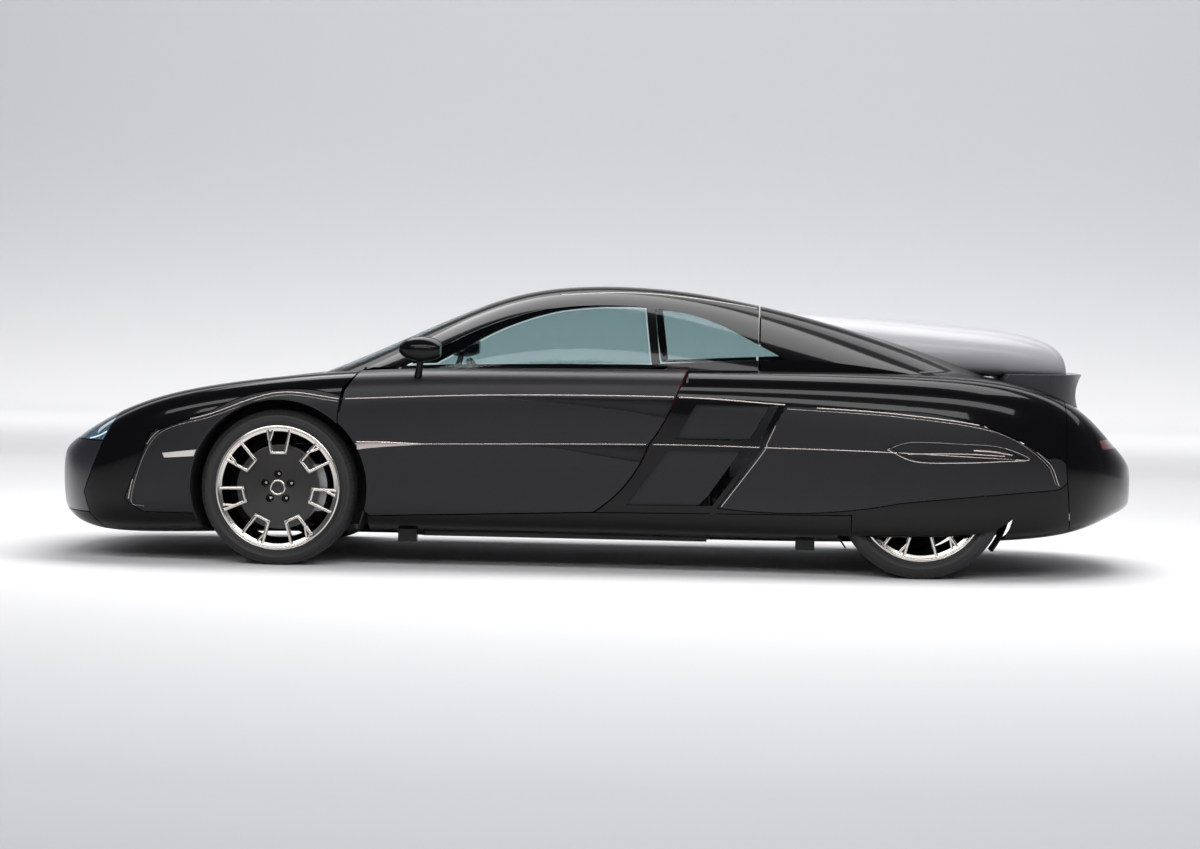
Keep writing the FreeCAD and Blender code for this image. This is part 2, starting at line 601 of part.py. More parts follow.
# The rear edges of the fender and the arch panel are bevelled where the front edge of the door swings past.
door_edge = door.common(block((along(DOOR_SHARES[-2][0]) - gap, door_inner, height(DOOR_SHARES[-2][1])),
                              (along(DOOR_SHARES[5][0]), side, top)))
for step in range(int(size("hinge_swing / relief_step"))):
    swung = door_edge.copy()
    swung.translate(Vector(-size("hinge_gap"), 0, 0))
    swung.rotate(hinge_point, hinge_axis, (step + 1) * size("relief_step"))
    fender = fender.cut(swung)
    bib = bib.cut(swung)
fender = largest(fender)
feature("fender_right", fender)
feature("fender_left", fender.mirror(Vector(), Vector(0, 1, 0)))
feature("arch_panels", both_sides(largest(bib)))
sill = outer.common(sill_zone).cut(rear_arch).cut(front_arch)
jack_pads = [block((place - size("jack_half_length"), tub_side, size("jack_low")),
                   (place + size("jack_half_length"), tub_side + size("jack_width"), size("jack_high")))
             for place in (-size("jack_forward"), size("jack_rearward"))]
feature("sills", both_sides(sill.fuse(jack_pads)))

# Rear quarters with their intakes, the blades that stand in these, the pods and the tail.
quarter = skin.common(block((along(QUARTER_START_SHARE), 0, 0), (finish, side, top)))
for zone in (cabin_grown, over_door, door_grown, side_prism(SILL_SHARES, gap, mid_side),
             side_prism(POD_SHARES, gap, mid_side), side_prism(TAIL_SHARES, gap), top_prism(DECK_SHARES, gap), floor_zone,
             side_prism(UPPER_INTAKE_SHARES, 0, mid_side), side_prism(LOWER_INTAKE_SHARES, 0, mid_side),
             block((0, -overlap, 0), (along(DECK_SHARES[0][0]), tub_side, top))):
    quarter = quarter.cut(zone)
quarter = largest(quarter)
feature("rear_quarter_right", quarter)
feature("rear_quarter_left", quarter.mirror(Vector(), Vector(0, 1, 0)))
blade_skin = half_body("Blade_face", BODY_SHARES, size("blade_inset")).Shape
blade_skin = blade_skin.cut(half_body("Blade_back", BODY_SHARES, size("blade_inset + skin")).Shape)
blades = [largest(blade_skin.common(side_prism(shares, -seat, mid_side)))
          for shares in (UPPER_BLADE_SHARES, LOWER_BLADE_SHARES)]
feature("intake_blades", both_sides(Part.makeCompound(blades)))
blade_zone = Part.makeCompound([side_prism(shares, gap, mid_side)
                                for shares in (UPPER_INTAKE_SHARES, LOWER_INTAKE_SHARES)])
slot_floor = half_body("Slot_floor", BODY_SHARES, size("slot_depth")).Shape
pod = skin.common(side_prism(POD_SHARES, 0, mid_side)).cut(side_prism(TAIL_SHARES, gap))
pod = pod.cut(side_prism(POD_SLOT_SHARES, 0, mid_side).cut(slot_floor))
feature("rear_pods", both_sides(largest(pod)))
tail_lamp_low = (along(TAIL_LAMP_SHARE), size("tail_lamp_in"), size("tail_lamp_low"))
tail_lamp_high = (finish, size("tail_lamp_out"), size("tail_lamp_low + tail_lamp_height"))
tail_lamp_seat = block([low - seat for low in tail_lamp_low], [high + seat for high in tail_lamp_high])
tail = skin.common(side_prism(TAIL_SHARES)).cut(floor_zone).cut(tail_lamp_seat)
feature("rear_bumper", largest(whole(tail)))
feature("tail_lamps", both_sides(largest(outer.cut(lamp_inside).common(block(tail_lamp_low, tail_lamp_high)))))
feature("underfloor", largest(whole(skin.common(floor_zone))))

# Cabin roof, glass and rear deck.
window_plane = size("half_width") * WINDOW_PLANE_SHARE
roof_part = block((along(ROOF_START_SHARE), -overlap, size("tub_top")), (along(ROOF_END_SHARE), side, top))
roof_part = cabin_outer.cut(cabin_inner).common(roof_part)
for zone in (side_prism(DOOR_WINDOW_SHARES, 0, window_plane), side_prism(QUARTER_WINDOW_SHARES, 0, window_plane),
             top_prism(WINDSCREEN_SHARES), side_prism(DOOR_SHARES, door_gap, size("half_width") * DOOR_PLANE_SHARE)):
    roof_part = roof_part.cut(zone)
feature("roof", largest(whole(roof_part)))
glass = cabin_outer.cut(cabin_glass)
windscreen = glass.common(top_prism(WINDSCREEN_SHARES, -seat)).common(above_tub).cut(on_body)
feature("windscreen", largest(whole(windscreen)))
door_glass = glass.cut(on_body).common(side_prism(DOOR_WINDOW_SHARES, -size("glass_gap"), window_plane))
door_glass = largest(door_glass.cut(side_prism(DOOR_SHARES, seat, mid_side)))
feature("door_glass_right", door_glass)
feature("door_glass_left", door_glass.mirror(Vector(), Vector(0, 1, 0)))
quarter_glass = glass.common(side_prism(QUARTER_WINDOW_SHARES, -seat, window_plane)).cut(on_body)
feature("quarter_glass", both_sides(largest(quarter_glass)))
deck_part = block((along(DECK_START_SHARE), -overlap, size("tub_top")), (finish, side, top))
rear_deck = cabin_outer.fuse(outer).cut(cabin_inner.fuse(inner)).common(deck_zone).common(deck_part)
for zone in (top_prism(DOME_HOLE_SHARES), side_prism(TAIL_SHARES, gap), side_prism(POD_SHARES, gap, mid_side),
             side_prism(QUARTER_WINDOW_SHARES, 0, window_plane)):
    rear_deck = rear_deck.cut(zone)
feature("rear_deck", largest(whole(rear_deck)))


def sketch_on(body, plane, corners, offset=0):
    """A closed outline of straight lines on one of a body's own planes, each corner tied to its two sizes."""
    sketch = body.newObject("Sketcher::SketchObject", f"{body.Label}_outline")
    origin = next(item for item in body.Origin.OriginFeatures if item.Role == plane)
    sketch.AttachmentSupport = [(origin, "")]
    sketch.MapMode = "FlatFace"
    sketch.AttachmentOffset = Placement(Vector(0, 0, 0), Rotation())
    sketch.setExpression("AttachmentOffset.Base.z", bound(offset))
    places = [Vector(size(across), size(up), 0) for across, up in corners]
    for n, place in enumerate(places):
        sketch.addGeometry(Part.LineSegment(place, places[(n + 1) % len(places)]), False)
    for n in range(len(places)):
        sketch.addConstraint(Sketcher.Constraint("Coincident", n, 2, (n + 1) % len(places), 1))
    for n, (across, up) in enumerate(corners):
        for kind, text in (("DistanceX", across), ("DistanceY", up)):
            number = sketch.addConstraint(Sketcher.Constraint(kind, n, 1, size(text)))
            sketch.setExpression(f"Constraints[{number}]", bound(text))
    return sketch


def turned(body, sketch):
    """A full turn of an outline about the axle."""
    ring = body.newObject("PartDesign::Revolution", f"{body.Label}_turned")
    ring.Profile = sketch
    ring.ReferenceAxis = (sketch, ["V_Axis"])
    ring.Angle = 360
    body.Tip = ring
    return ring


def pad(body, sketch, length, reverse=False):
    """An outline made solid."""
    solid = body.newObject("PartDesign::Pad", f"{body.Label}_pad")
    solid.Profile = sketch
    solid.setExpression("Length", bound(length))
    solid.Reversed = reverse
    body.Tip = solid
    return solid


def around(body, solids, count):
    """Copies of a feature round the axle."""
    pattern = body.newObject("PartDesign::PolarPattern", f"{body.Label}_pattern")
    pattern.Originals = solids
    axle = next(item for item in body.Origin.OriginFeatures if item.Role == "Y_Axis")
    pattern.Axis = (axle, [""])
    pattern.Angle = 360
    pattern.setExpression("Occurrences", bound(count))
    body.Tip = pattern
    return pattern


def wheel(end):
    """Tyre, rim and brake disc of the right wheel at one end, about their own axle."""
    radius, width, rim = f"{end}_tyre_radius", f"{end}_tyre_width", f"{end}_rim_radius"
    tyre = doc.addObject("PartDesign::Body", f"{end}_tyre_form")
    bead = f"{rim} - bead_depth + tyre_seat_gap"
    tyre_half = [(bead, f"{width} / 2 - bead_inset"), (f"{rim} + bulge_height", f"{width} / 2"),
                 (radius, f"{width} / 2 - tread_in")]
    turned(tyre, sketch_on(tyre, "XY_Plane", tyre_half + [(r, f"-({y})") for r, y in reversed(tyre_half)]))

    hoop = doc.addObject("PartDesign::Body", f"{end}_rim_form")
    lip = f"{width} / 2 - lip_inset"
    profile = [(rim, lip), (rim, f"{lip} - rim_lip"), (f"{rim} - bead_depth", f"{lip} - bead_slope"),
               (f"{rim} - bead_depth - rim_drop", "0"), (f"{rim} - bead_depth", f"-({lip} - bead_slope)"),
               (rim, f"-({lip} - rim_lip)"), (rim, f"-({lip})"),
               (f"{rim} - bead_depth - rim_wall", f"-({lip} - rim_lip)"),
               (f"{rim} - bead_depth - rim_drop - rim_wall", "0"),
               (f"{rim} - bead_depth - rim_wall", f"{lip} - rim_lip")]
    turned(hoop, sketch_on(hoop, "XY_Plane", profile))
    face = f"{width} / 2 - lip_inset - face_in"
    disc = [("spindle_radius + spindle_play", face), ("hub_disc_radius", f"{face} - face_dish"),
            ("hub_disc_radius", f"{face} - face_dish - hub_disc_thickness"),
            ("hub_radius", f"{face} - face_dish - hub_disc_thickness"),
            ("hub_radius", "hub_face"), ("spindle_radius + spindle_play", "hub_face")]
    turned(hoop, sketch_on(hoop, "XY_Plane", disc))
    well = f"({rim} - bead_depth - rim_wall / 2)"
    outer_reach = f"sqrt({well} * {well} - spoke_spread * spoke_spread)"
    spoke = [("-spoke_foot", "hub_disc_radius - spoke_root"), ("spoke_foot", "hub_disc_radius - spoke_root"),
             ("spoke_spread", outer_reach), ("spoke_spread - rib_width", outer_reach),
             ("spoke_foot - rib_width", "hub_disc_radius - spoke_root + rib_width"),
             ("-(spoke_foot - rib_width)", "hub_disc_radius - spoke_root + rib_width"),
             ("-(spoke_spread - rib_width)", outer_reach), ("-spoke_spread", outer_reach)]
    spoke_outline = sketch_on(hoop, "XZ_Plane", spoke, f"-({face} - face_dish - hub_disc_thickness)")
    rib = pad(hoop, spoke_outline, "spoke_depth", True)
    doc.recompute()
    around(hoop, [rib], "spoke_count")

    brake = doc.addObject("PartDesign::Body", f"{end}_brake_form")
    brake_outline = [("spindle_radius + spindle_play", "hub_face"), ("hub_radius", "hub_face"), ("hub_radius", "brake_out"),
                     ("brake_disc_radius", "brake_out"), ("brake_disc_radius", "brake_out - brake_disc_thickness"),
                     ("spindle_radius + spindle_play", "brake_out - brake_disc_thickness")]
    turned(brake, sketch_on(brake, "XY_Plane", brake_outline))
    doc.recompute()
    along, up = axle_place(end == "front")
    out = size(f"half_width - {end}_wheel_inset")
    bolt_holes = []
    for n in range(int(size("bolt_count"))):
        turn = 2 * math.pi * n / size("bolt_count")
        spot = Vector(math.sin(turn), 0, math.cos(turn)) * size("bolt_circle_radius")
        bolt_holes.append(Part.makeCylinder(size("bolt_hole_radius"), size("half_width"), spot, Vector(0, 1, 0)))
        recess = spot + Vector(0, size("hub_face + bolt_seat_thickness"), 0)
        bolt_holes.append(Part.makeCylinder(size("bolt_seat_radius"), size("half_width"), recess, Vector(0, 1, 0)))
    for form, name in ((tyre, "tyre"), (hoop, "rim"), (brake, "brake_disc")):
        shape = form.Shape.copy() if name == "tyre" else form.Shape.cut(bolt_holes)
        shape.translate(Vector(along, out, up))
        feature(f"{end}_{name}_right", shape)
        feature(f"{end}_{name}_left", shape.mirror(Vector(), Vector(0, 1, 0)))


wheel("front")
wheel("rear")


def upright(end):
    """The right wheel carrier at one end: a post between its two arms, the spindle and the caliper."""
    along, up = axle_place(end == "front")
    out = size(f"half_width - {end}_wheel_inset")
    back = out + size("brake_out - brake_disc_thickness - brake_gap")
    post_in = back - size("post_thickness")
    tall = size("post_half_height")
    wide = size("post_half_width")
    post = block((along - wide, post_in, up - tall), (along + wide, back, up + tall))
    spindle_long = size("hub_face + spindle_reach") + out - post_in
    spindle = Part.makeCylinder(size("spindle_radius"), spindle_long, Vector(along, post_in, up), Vector(0, 1, 0))
    collar = Part.makeCylinder(size("hub_radius"), back - post_in, Vector(along, post_in, up), Vector(0, 1, 0))
    reach = size("brake_disc_radius")
    low_y, high_y = back - size("caliper_wall"), out + size("brake_out + brake_gap + caliper_wall")
    claw_half = reach * CALIPER_HALF_SHARE
    claw = block((along + reach * CALIPER_START_SHARE, low_y, up - claw_half),
                 (along + reach + size("caliper_wall"), high_y, up + claw_half))
    claw = claw.common(Part.makeCylinder(reach + size("caliper_wall"), high_y - low_y, Vector(along, low_y, up),
                                         Vector(0, 1, 0)))
    slot = Part.makeCylinder(reach + size("brake_gap"), size("brake_disc_thickness + brake_gap * 2"),
                             Vector(along, back, up), Vector(0, 1, 0))
    arm = block((along, low_y, up - size("caliper_arm")),
                (along + reach * CALIPER_ARM_SHARE, back, up + size("caliper_arm")))
    pins = Part.makeCylinder(size("king_pin_radius"), 2 * (tall + size("arm_thickness + seat_gap")),
                             Vector(along, (post_in + back) / 2, up - tall - size("arm_thickness + seat_gap")), Vector(0, 0, 1))
    slot = slot.cut(Part.makeCylinder(size("spindle_radius"), side, Vector(along, 0, up), Vector(0, 1, 0)))
    return post.fuse([spindle, collar, claw, arm, pins]).cut(slot)


def arms(end):
    """Upper and lower wishbones of the right side at one end, from the frame beam to the upright."""
    along, up = axle_place(end == "front")
    out = size(f"half_width - {end}_wheel_inset")
    pin_y = out + size("brake_out - brake_disc_thickness - brake_gap - post_thickness / 2")
    root_y = size("beam_out + seat_gap")
    pieces = []
    for low in (up + size("post_half_height + seat_gap"), up - size("post_half_height + seat_gap + arm_thickness")):
        spread, tip = size("arm_spread"), size("arm_tip")
        corners = [Vector(along + across, out_to, low) for across, out_to in
                   ((-spread, root_y), (2 * tip - spread, root_y), (0, pin_y - 3 * tip), (spread - 2 * tip, root_y),
                    (spread, root_y), (tip, pin_y), (-tip, pin_y))]
        plate = Part.Face(Part.makePolygon(corners + corners[:1])).extrude(Vector(0, 0, size("arm_thickness")))
        eye = Part.makeCylinder(tip, size("arm_thickness"), Vector(along, pin_y, low))
        hole = Part.makeCylinder(size("king_pin_radius + spindle_play"), size("arm_thickness"), Vector(along, pin_y, low))
        pieces.append(plate.fuse(eye).cut(hole).removeSplitter())
    return pieces


knuckle = upright("front")
feature("knuckle_right", knuckle)
feature("knuckle_left", knuckle.mirror(Vector(), Vector(0, 1, 0)))
feature("rear_uprights", both_sides(upright("rear")))
feature("front_arms", both_sides(Part.makeCompound(arms("front"))))
feature("rear_arms", both_sides(Part.makeCompound(arms("rear"))))


def fill(label, corners, low, height):
    """A body made from one outline seen from above, padded from a height."""
    body = doc.addObject("PartDesign::Body", label)
    pad(body, sketch_on(body, "XY_Plane", corners, low), height)
    return body


def plain(start, finish, half_width):
    """The corners of a rectangle across the centre plane."""
    return [(start, f"-({half_width})"), (finish, f"-({half_width})"), (finish, half_width), (start, half_width)]


# Tub: floor, side boxes and two bulkheads round an open cabin.
TUB_SIDE = "half_width - door_depth - seat_gap"
tub_plan = [("-tub_front", "-tub_nose_half_width"), ("-tub_front + tub_taper", f"-({TUB_SIDE})"),
            ("tub_rear", f"-({TUB_SIDE})"), ("tub_rear", TUB_SIDE), ("-tub_front + tub_taper", TUB_SIDE),
            ("-tub_front", "tub_nose_half_width")]
WELL_SIDE = f"{TUB_SIDE} - sill_box"
WELL_NOSE = "tub_nose_half_width - tub_wall"
well_plan = [("-tub_front + bulkhead_thickness", f"-({WELL_NOSE})"),
             ("-tub_front + tub_taper + bulkhead_thickness", f"-({WELL_SIDE})"),
             ("tub_rear - bulkhead_thickness", f"-({WELL_SIDE})"), ("tub_rear - bulkhead_thickness", WELL_SIDE),
             ("-tub_front + tub_taper + bulkhead_thickness", WELL_SIDE),
             ("-tub_front + bulkhead_thickness", WELL_NOSE)]
tub = fill("tub_form", tub_plan, "floor_low", "tub_side_top - floor_low")
well = tub.newObject("PartDesign::Pocket", "tub_well")
well.Profile = sketch_on(tub, "XY_Plane", well_plan, "tub_side_top")
well.setExpression("Length", bound("tub_side_top - floor_low - floor_thickness"))
tub.Tip = well
doc.recompute()
WALL_HEIGHT = "tub_top - seat_gap - tub_side_top"
front_wall = fill("front_bulkhead_form", plain("-tub_front", "-tub_front + bulkhead_thickness", "tub_nose_half_width"),
                  "tub_side_top", WALL_HEIGHT)
rear_wall = fill("rear_bulkhead_form", plain("tub_rear - bulkhead_thickness", "tub_rear", "bulkhead_half_width"),
                 "tub_side_top", WALL_HEIGHT)
tunnel_plan = plain("-tub_front + bulkhead_thickness", "tub_rear - bulkhead_thickness", "tunnel_half_width")
tunnel = fill("tunnel_form", tunnel_plan, "floor_low + floor_thickness", "tunnel_height")
doc.recompute()
feature("tub", tub.Shape.fuse([front_wall.Shape, rear_wall.Shape, tunnel.Shape]).removeSplitter())

# Frames at the nose and the tail: hoops that follow the skin, on two beams.
carrier = half_body("Carrier_form", BODY_SHARES, size("skin + seat_gap")).Shape
carrier_inside = half_body("Carrier_inside", BODY_SHARES, size("skin + seat_gap + hoop_depth")).Shape


def frame(label, hoops, start, finish, stop, lugs=(), pins=()):
    """Hoops and beams of one end, the right half mirrored."""
    pieces = []
    for place, low in hoops:
        slab = block((place, 0, low), (place + size("hoop_width"), side, top))
        pieces.append(carrier.common(slab).cut(carrier_inside))
        bar = block((place, 0, size("beam_low")), (place + size("hoop_width"), side, size("beam_low + beam_height")))
        pieces.append(carrier.common(bar))
        post = block((place, size("beam_out - beam_width"), size("beam_low")),
                     (place + size("hoop_width"), size("beam_out"), top))
        pieces.append(carrier.common(post))
    beam = block((start, size("beam_out - beam_width"), size("beam_low")),
                 (finish, size("beam_out"), size("beam_low + beam_height"))).common(carrier)
    axle, up = axle_place(finish < 0)
    tower = block((axle - size("arm_spread"), size("beam_out - beam_width"), up - size("post_half_height + arm_thickness")),
                  (axle + size("arm_spread"), size("beam_out"), up + size("post_half_height + arm_thickness")))
    joined = pieces[0].fuse(pieces[1:] + [beam, tower, *lugs])
    for zone in stop:
        joined = joined.cut(zone)
    for pin in pins:
        joined = joined.fuse(pin)
    return feature(label, largest(whole(joined)))


lamp_stop = side_prism(HEADLAMP_SHARES, seat, size("lamp_inner - seat_gap"))
liner_clearance = size("liner_clearance")
front_liner_zone = arch(True, size("arch_radius") + liner_clearance, arch_back - liner_clearance, side)
rear_liner_zone = arch(False, rear_arch_radius + liner_clearance, arch_back - liner_clearance, side)
frame("front_frame", [(along(NOSE_HOOP_SHARE), 0), (along(SCUTTLE_HOOP_SHARE), 0)],
      -half_length, -size("tub_front + seat_gap"),
      [front_liner_zone, door_grown, roof_band, lamp_stop, hinge_sweep], [hinge_lugs], [hinge_pin])
frame("rear_frame", [(along(ROOF_HOOP_SHARE), size("beam_low")), (along(TAIL_HOOP_SHARE), 0)],
      size("tub_rear + seat_gap"), along(TAIL_LAMP_SHARE),
      [rear_liner_zone, side_prism(SILL_SHARES, gap, mid_side), roof_band, door_grown, blade_zone])

fill("engine_block", plain("engine_front", "engine_front + engine_length", "engine_half_width"),
     "beam_low + beam_height + seat_gap", "engine_height")

# Seats, dashboard and steering wheel.
SEAT_FOOT = "floor_low + floor_thickness + seat_gap"
seat_side = [("seat_back - seat_length", SEAT_FOOT), ("seat_back + seat_heel", SEAT_FOOT),
             ("seat_back + seat_lean + seat_crest / 2", "seat_top"), ("seat_back + seat_lean - seat_crest / 2", "seat_top"),
             ("seat_back - seat_waist", f"{SEAT_FOOT} + seat_cushion"),
             ("seat_back - seat_length", f"{SEAT_FOOT} + seat_cushion + seat_rise")]
seat_form = doc.addObject("PartDesign::Body", "seat_form")
pad(seat_form, sketch_on(seat_form, "XZ_Plane", seat_side, "-(seat_out - seat_half_width)"), "2 * seat_half_width", True)
doc.recompute()
feature("seats", both_sides(seat_form.Shape))
dash = doc.addObject("PartDesign::Body", "dashboard")
dash_side = [("-tub_front + bulkhead_thickness + seat_gap", "dash_low"),
             ("-tub_front + bulkhead_thickness + dash_length", "dash_low + dash_chin"),
             ("-tub_front + bulkhead_thickness + dash_length", "tub_top + dash_brow"),
             ("-tub_front + bulkhead_thickness + dash_shelf", "tub_top + dash_crest"),
             ("-tub_front + bulkhead_thickness + seat_gap", "tub_top - dash_drop")]
dash_pad = pad(dash, sketch_on(dash, "XZ_Plane", dash_side), "2 * dash_half_width")
dash_pad.Midplane = True
wheel_centre = Vector(size("-tub_front + bulkhead_thickness + dash_length + column_reach"), -size("seat_out"),
                      size("tub_top + wheel_rise"))
ring = Part.makeTorus(size("steering_radius"), size("steering_grip"))
spoke_bar = Part.makeCylinder(size("steering_grip"), 2 * size("steering_radius"),
                              Vector(-size("steering_radius"), 0, 0), Vector(1, 0, 0))
boss = Part.makeCylinder(size("steering_boss_radius"), size("steering_boss_depth"),
                         Vector(0, 0, -size("steering_boss_depth / 2")))
steering = ring.fuse([spoke_bar, boss])
column = Part.makeCylinder(size("steering_grip"), size("dash_length"), Vector(0, 0, 0), Vector(0, 0, -1))
steering = steering.fuse(column)
steering.rotate(Vector(), Vector(0, 1, 0), size("steering_tilt"))
steering.translate(wheel_centre)
steering = steering.cut(block((-half_length, -side, 0), (wheel_centre.x - size("column_reach - seat_gap"), side, top)))
feature("steering_wheel", steering)
dome_outer = half_body("Dome_form", DOME_SHARES, 0).Shape
dome_inner = half_body("Dome_inside", DOME_SHARES, size("glass_thickness")).Shape
dome = dome_outer.cut(dome_inner).cut(cabin_outer.fuse(outer))
feature("deck_dome", whole(dome))

dome_seat = half_body("Dome_seat", DOME_SHARES, -seat).Shape
spoiler = Part.Face(outline(SPOILER_SHARES, side_place)).extrude(Vector(0, size("spoiler_half_width"), 0))
spoiler = largest(spoiler.common(top_prism(SPOILER_PLAN_SHARES)).cut(on_body).cut(dome_seat))
feature("spoiler", whole(spoiler))

# Door mirrors: a rounded pod on a slender stalk.
pod_form = Part.makeSphere(1)
stretch = FreeCAD.Matrix()
stretch.scale(size("mirror_half_length"), size("mirror_half_width"), size("mirror_half_height"))
pod_form = pod_form.transformGeometry(stretch)
mirror_centre = Vector(-size("mirror_forward"), size("half_width + mirror_proud"), size("mirror_up"))
pod_form.translate(mirror_centre)
mirror_face = mirror_centre.x + size("mirror_half_length") * MIRROR_FACE_SHARE
pod_form = pod_form.cut(block((mirror_face, 0, 0), (0, 2 * side, top)))
foot = Vector(-size("mirror_forward + mirror_foot_forward"), size("half_width - mirror_foot_inset"),
              size("mirror_foot_up"))
reach = mirror_centre - foot
stalk = Part.makeCone(size("mirror_foot_radius"), size("mirror_stalk_radius"), reach.Length, foot, reach)
mirror_piece = largest(pod_form.fuse(stalk).cut(on_body))
feature("mirror_right", mirror_piece)
feature("mirror_left", mirror_piece.mirror(Vector(), Vector(0, 1, 0)))

# Wheel arch linings.
linings = []
lining_limit = half_body("Lining_limit", BODY_SHARES, size("lining_inset")).Shape
for front, reach_out in ((True, side), (False, door_inner)):
    radius = size("arch_radius") if front else rear_arch_radius
    ring_shape = arch(front, radius - seat, arch_back, reach_out)
    ring_shape = ring_shape.cut(arch(front, radius - seat - size("arch_lining"), 0, side))
    ring_shape = ring_shape.cut(block((-half_length, 0, -top), (half_length, side, size("lining_low"))))
    if front:
        ring_shape = ring_shape.common(lining_limit).cut(side_prism(DOOR_SHARES, door_gap, door_inner - door_gap))
    linings += [largest(ring_shape)]
feature("arch_linings", both_sides(Part.makeCompound(linings)))

NODES = ["front_bumper", "bonnet", "arch_panels", "headlamps", "fender_right", "fender_left", "door_right", "door_left",
         "sills", "rear_quarter_right", "rear_quarter_left", "intake_blades", "rear_pods", "rear_bumper", "underfloor",
         "roof", "windscreen", "door_glass_right", "door_glass_left", "quarter_glass", "rear_deck", "knuckle_right",
         "knuckle_left", "rear_uprights", "front_arms", "rear_arms", "tub", "front_frame", "rear_frame",
         "engine_block", "seats", "dashboard", "steering_wheel", "deck_dome", "spoiler", "mirror_right",
         "mirror_left", "arch_linings", "side_lamps", "tail_lamps"]
NODES += [f"{end}_{name}_{hand}" for end in ("front", "rear") for name in ("tyre", "rim", "brake_disc")
          for hand in ("right", "left")]
doc.recompute()
failed = [item.Label for item in doc.Objects if set(item.State) & {"Invalid", "Error"}]
if failed:
    raise RuntimeError(f"not computed: {failed}")
os.makedirs("parts", exist_ok=True)
for node in NODES:
    shape = doc.getObjectsByLabel(node)[0].Shape
    if not shape.isValid() or not shape.Solids:
        raise RuntimeError(f"{node} is no valid solid")
    shape.exportStep(f"parts/{node}.step")
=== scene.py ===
import json
import math

import bmesh
import bpy
import numpy as np
from mathutils import Matrix, Vector
from mathutils.bvhtree import BVHTree
from mathutils.kdtree import KDTree


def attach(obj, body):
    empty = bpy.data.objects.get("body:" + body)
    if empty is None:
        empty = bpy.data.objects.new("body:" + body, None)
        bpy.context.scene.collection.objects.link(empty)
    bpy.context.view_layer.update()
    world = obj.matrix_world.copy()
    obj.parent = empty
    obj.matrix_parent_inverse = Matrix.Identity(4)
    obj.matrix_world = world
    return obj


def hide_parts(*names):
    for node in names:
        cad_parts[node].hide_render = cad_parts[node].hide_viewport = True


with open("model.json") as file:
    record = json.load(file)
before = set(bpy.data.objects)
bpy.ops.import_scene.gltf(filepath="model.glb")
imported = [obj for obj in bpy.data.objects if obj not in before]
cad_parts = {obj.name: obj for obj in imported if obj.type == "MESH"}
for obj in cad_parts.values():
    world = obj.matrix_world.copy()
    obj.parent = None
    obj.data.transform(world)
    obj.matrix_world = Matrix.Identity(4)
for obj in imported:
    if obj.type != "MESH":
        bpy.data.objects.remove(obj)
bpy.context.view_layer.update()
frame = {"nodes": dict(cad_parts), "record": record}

# Gloss black shell
# The nose, wings, bonnet, roof, rear quarters, tail and sills are carbon skins in deep gloss black. Each is
# cut from one of three smooth forms, so it is shaded as its form and reflections run on across shut lines.
half_length = 2.329
half_width = 0.975
roof_height = 1.192
body_shares = [
    (-1.000, 0.16, 0.225, 0.18, 0.255, 0.190, 0.300, 0.180, 0.335, 0.170, 0.350, 0.12, 0.355, 0.06, 0.355),
    (-0.998, 0.40, 0.170, 0.44, 0.200, 0.460, 0.290, 0.450, 0.345, 0.400, 0.370, 0.28, 0.375, 0.14, 0.375),
    (-0.965, 0.58, 0.105, 0.70, 0.160, 0.750, 0.280, 0.730, 0.370, 0.640, 0.410, 0.46, 0.415, 0.22, 0.415),
    (-0.895, 0.76, 0.075, 0.87, 0.140, 0.910, 0.290, 0.895, 0.425, 0.830, 0.500, 0.58, 0.500, 0.28, 0.490),
    (-0.780, 0.83, 0.078, 0.935, 0.150, 0.960, 0.320, 0.970, 0.505, 0.920, 0.605, 0.64, 0.595, 0.30, 0.575),
    (-0.580, 0.86, 0.092, 0.95, 0.170, 0.965, 0.360, 0.985, 0.560, 0.940, 0.668, 0.70, 0.655, 0.32, 0.640),
    (-0.385, 0.86, 0.092, 0.94, 0.175, 0.945, 0.360, 0.985, 0.575, 0.940, 0.695, 0.74, 0.695, 0.33, 0.690),
    (-0.130, 0.86, 0.092, 0.93, 0.175, 0.925, 0.360, 0.985, 0.585, 0.940, 0.705, 0.75, 0.705, 0.33, 0.705),
    (0.130, 0.86, 0.092, 0.935, 0.175, 0.935, 0.360, 0.990, 0.590, 0.945, 0.710, 0.76, 0.710, 0.33, 0.710),
    (0.385, 0.92, 0.098, 0.990, 0.160, 1.000, 0.350, 1.000, 0.590, 0.955, 0.712, 0.77, 0.715, 0.33, 0.715),
    (0.580, 0.94, 0.105, 1.005, 0.160, 1.010, 0.350, 1.010, 0.580, 0.955, 0.708, 0.77, 0.714, 0.33, 0.714),
    (0.740, 0.90, 0.115, 0.975, 0.170, 0.995, 0.350, 0.985, 0.550, 0.930, 0.685, 0.75, 0.700, 0.33, 0.700),
    (0.865, 0.74, 0.135, 0.84, 0.210, 0.885, 0.335, 0.885, 0.460, 0.830, 0.600, 0.64, 0.625, 0.30, 0.625),
    (0.935, 0.50, 0.195, 0.60, 0.250, 0.665, 0.315, 0.660, 0.390, 0.600, 0.460, 0.42, 0.480, 0.20, 0.485),
    (0.980, 0.28, 0.230, 0.34, 0.260, 0.380, 0.305, 0.370, 0.350, 0.340, 0.390, 0.22, 0.400, 0.11, 0.400),
    (0.985, 0.12, 0.245, 0.14, 0.262, 0.150, 0.305, 0.140, 0.340, 0.130, 0.360, 0.09, 0.365, 0.04, 0.365),
]
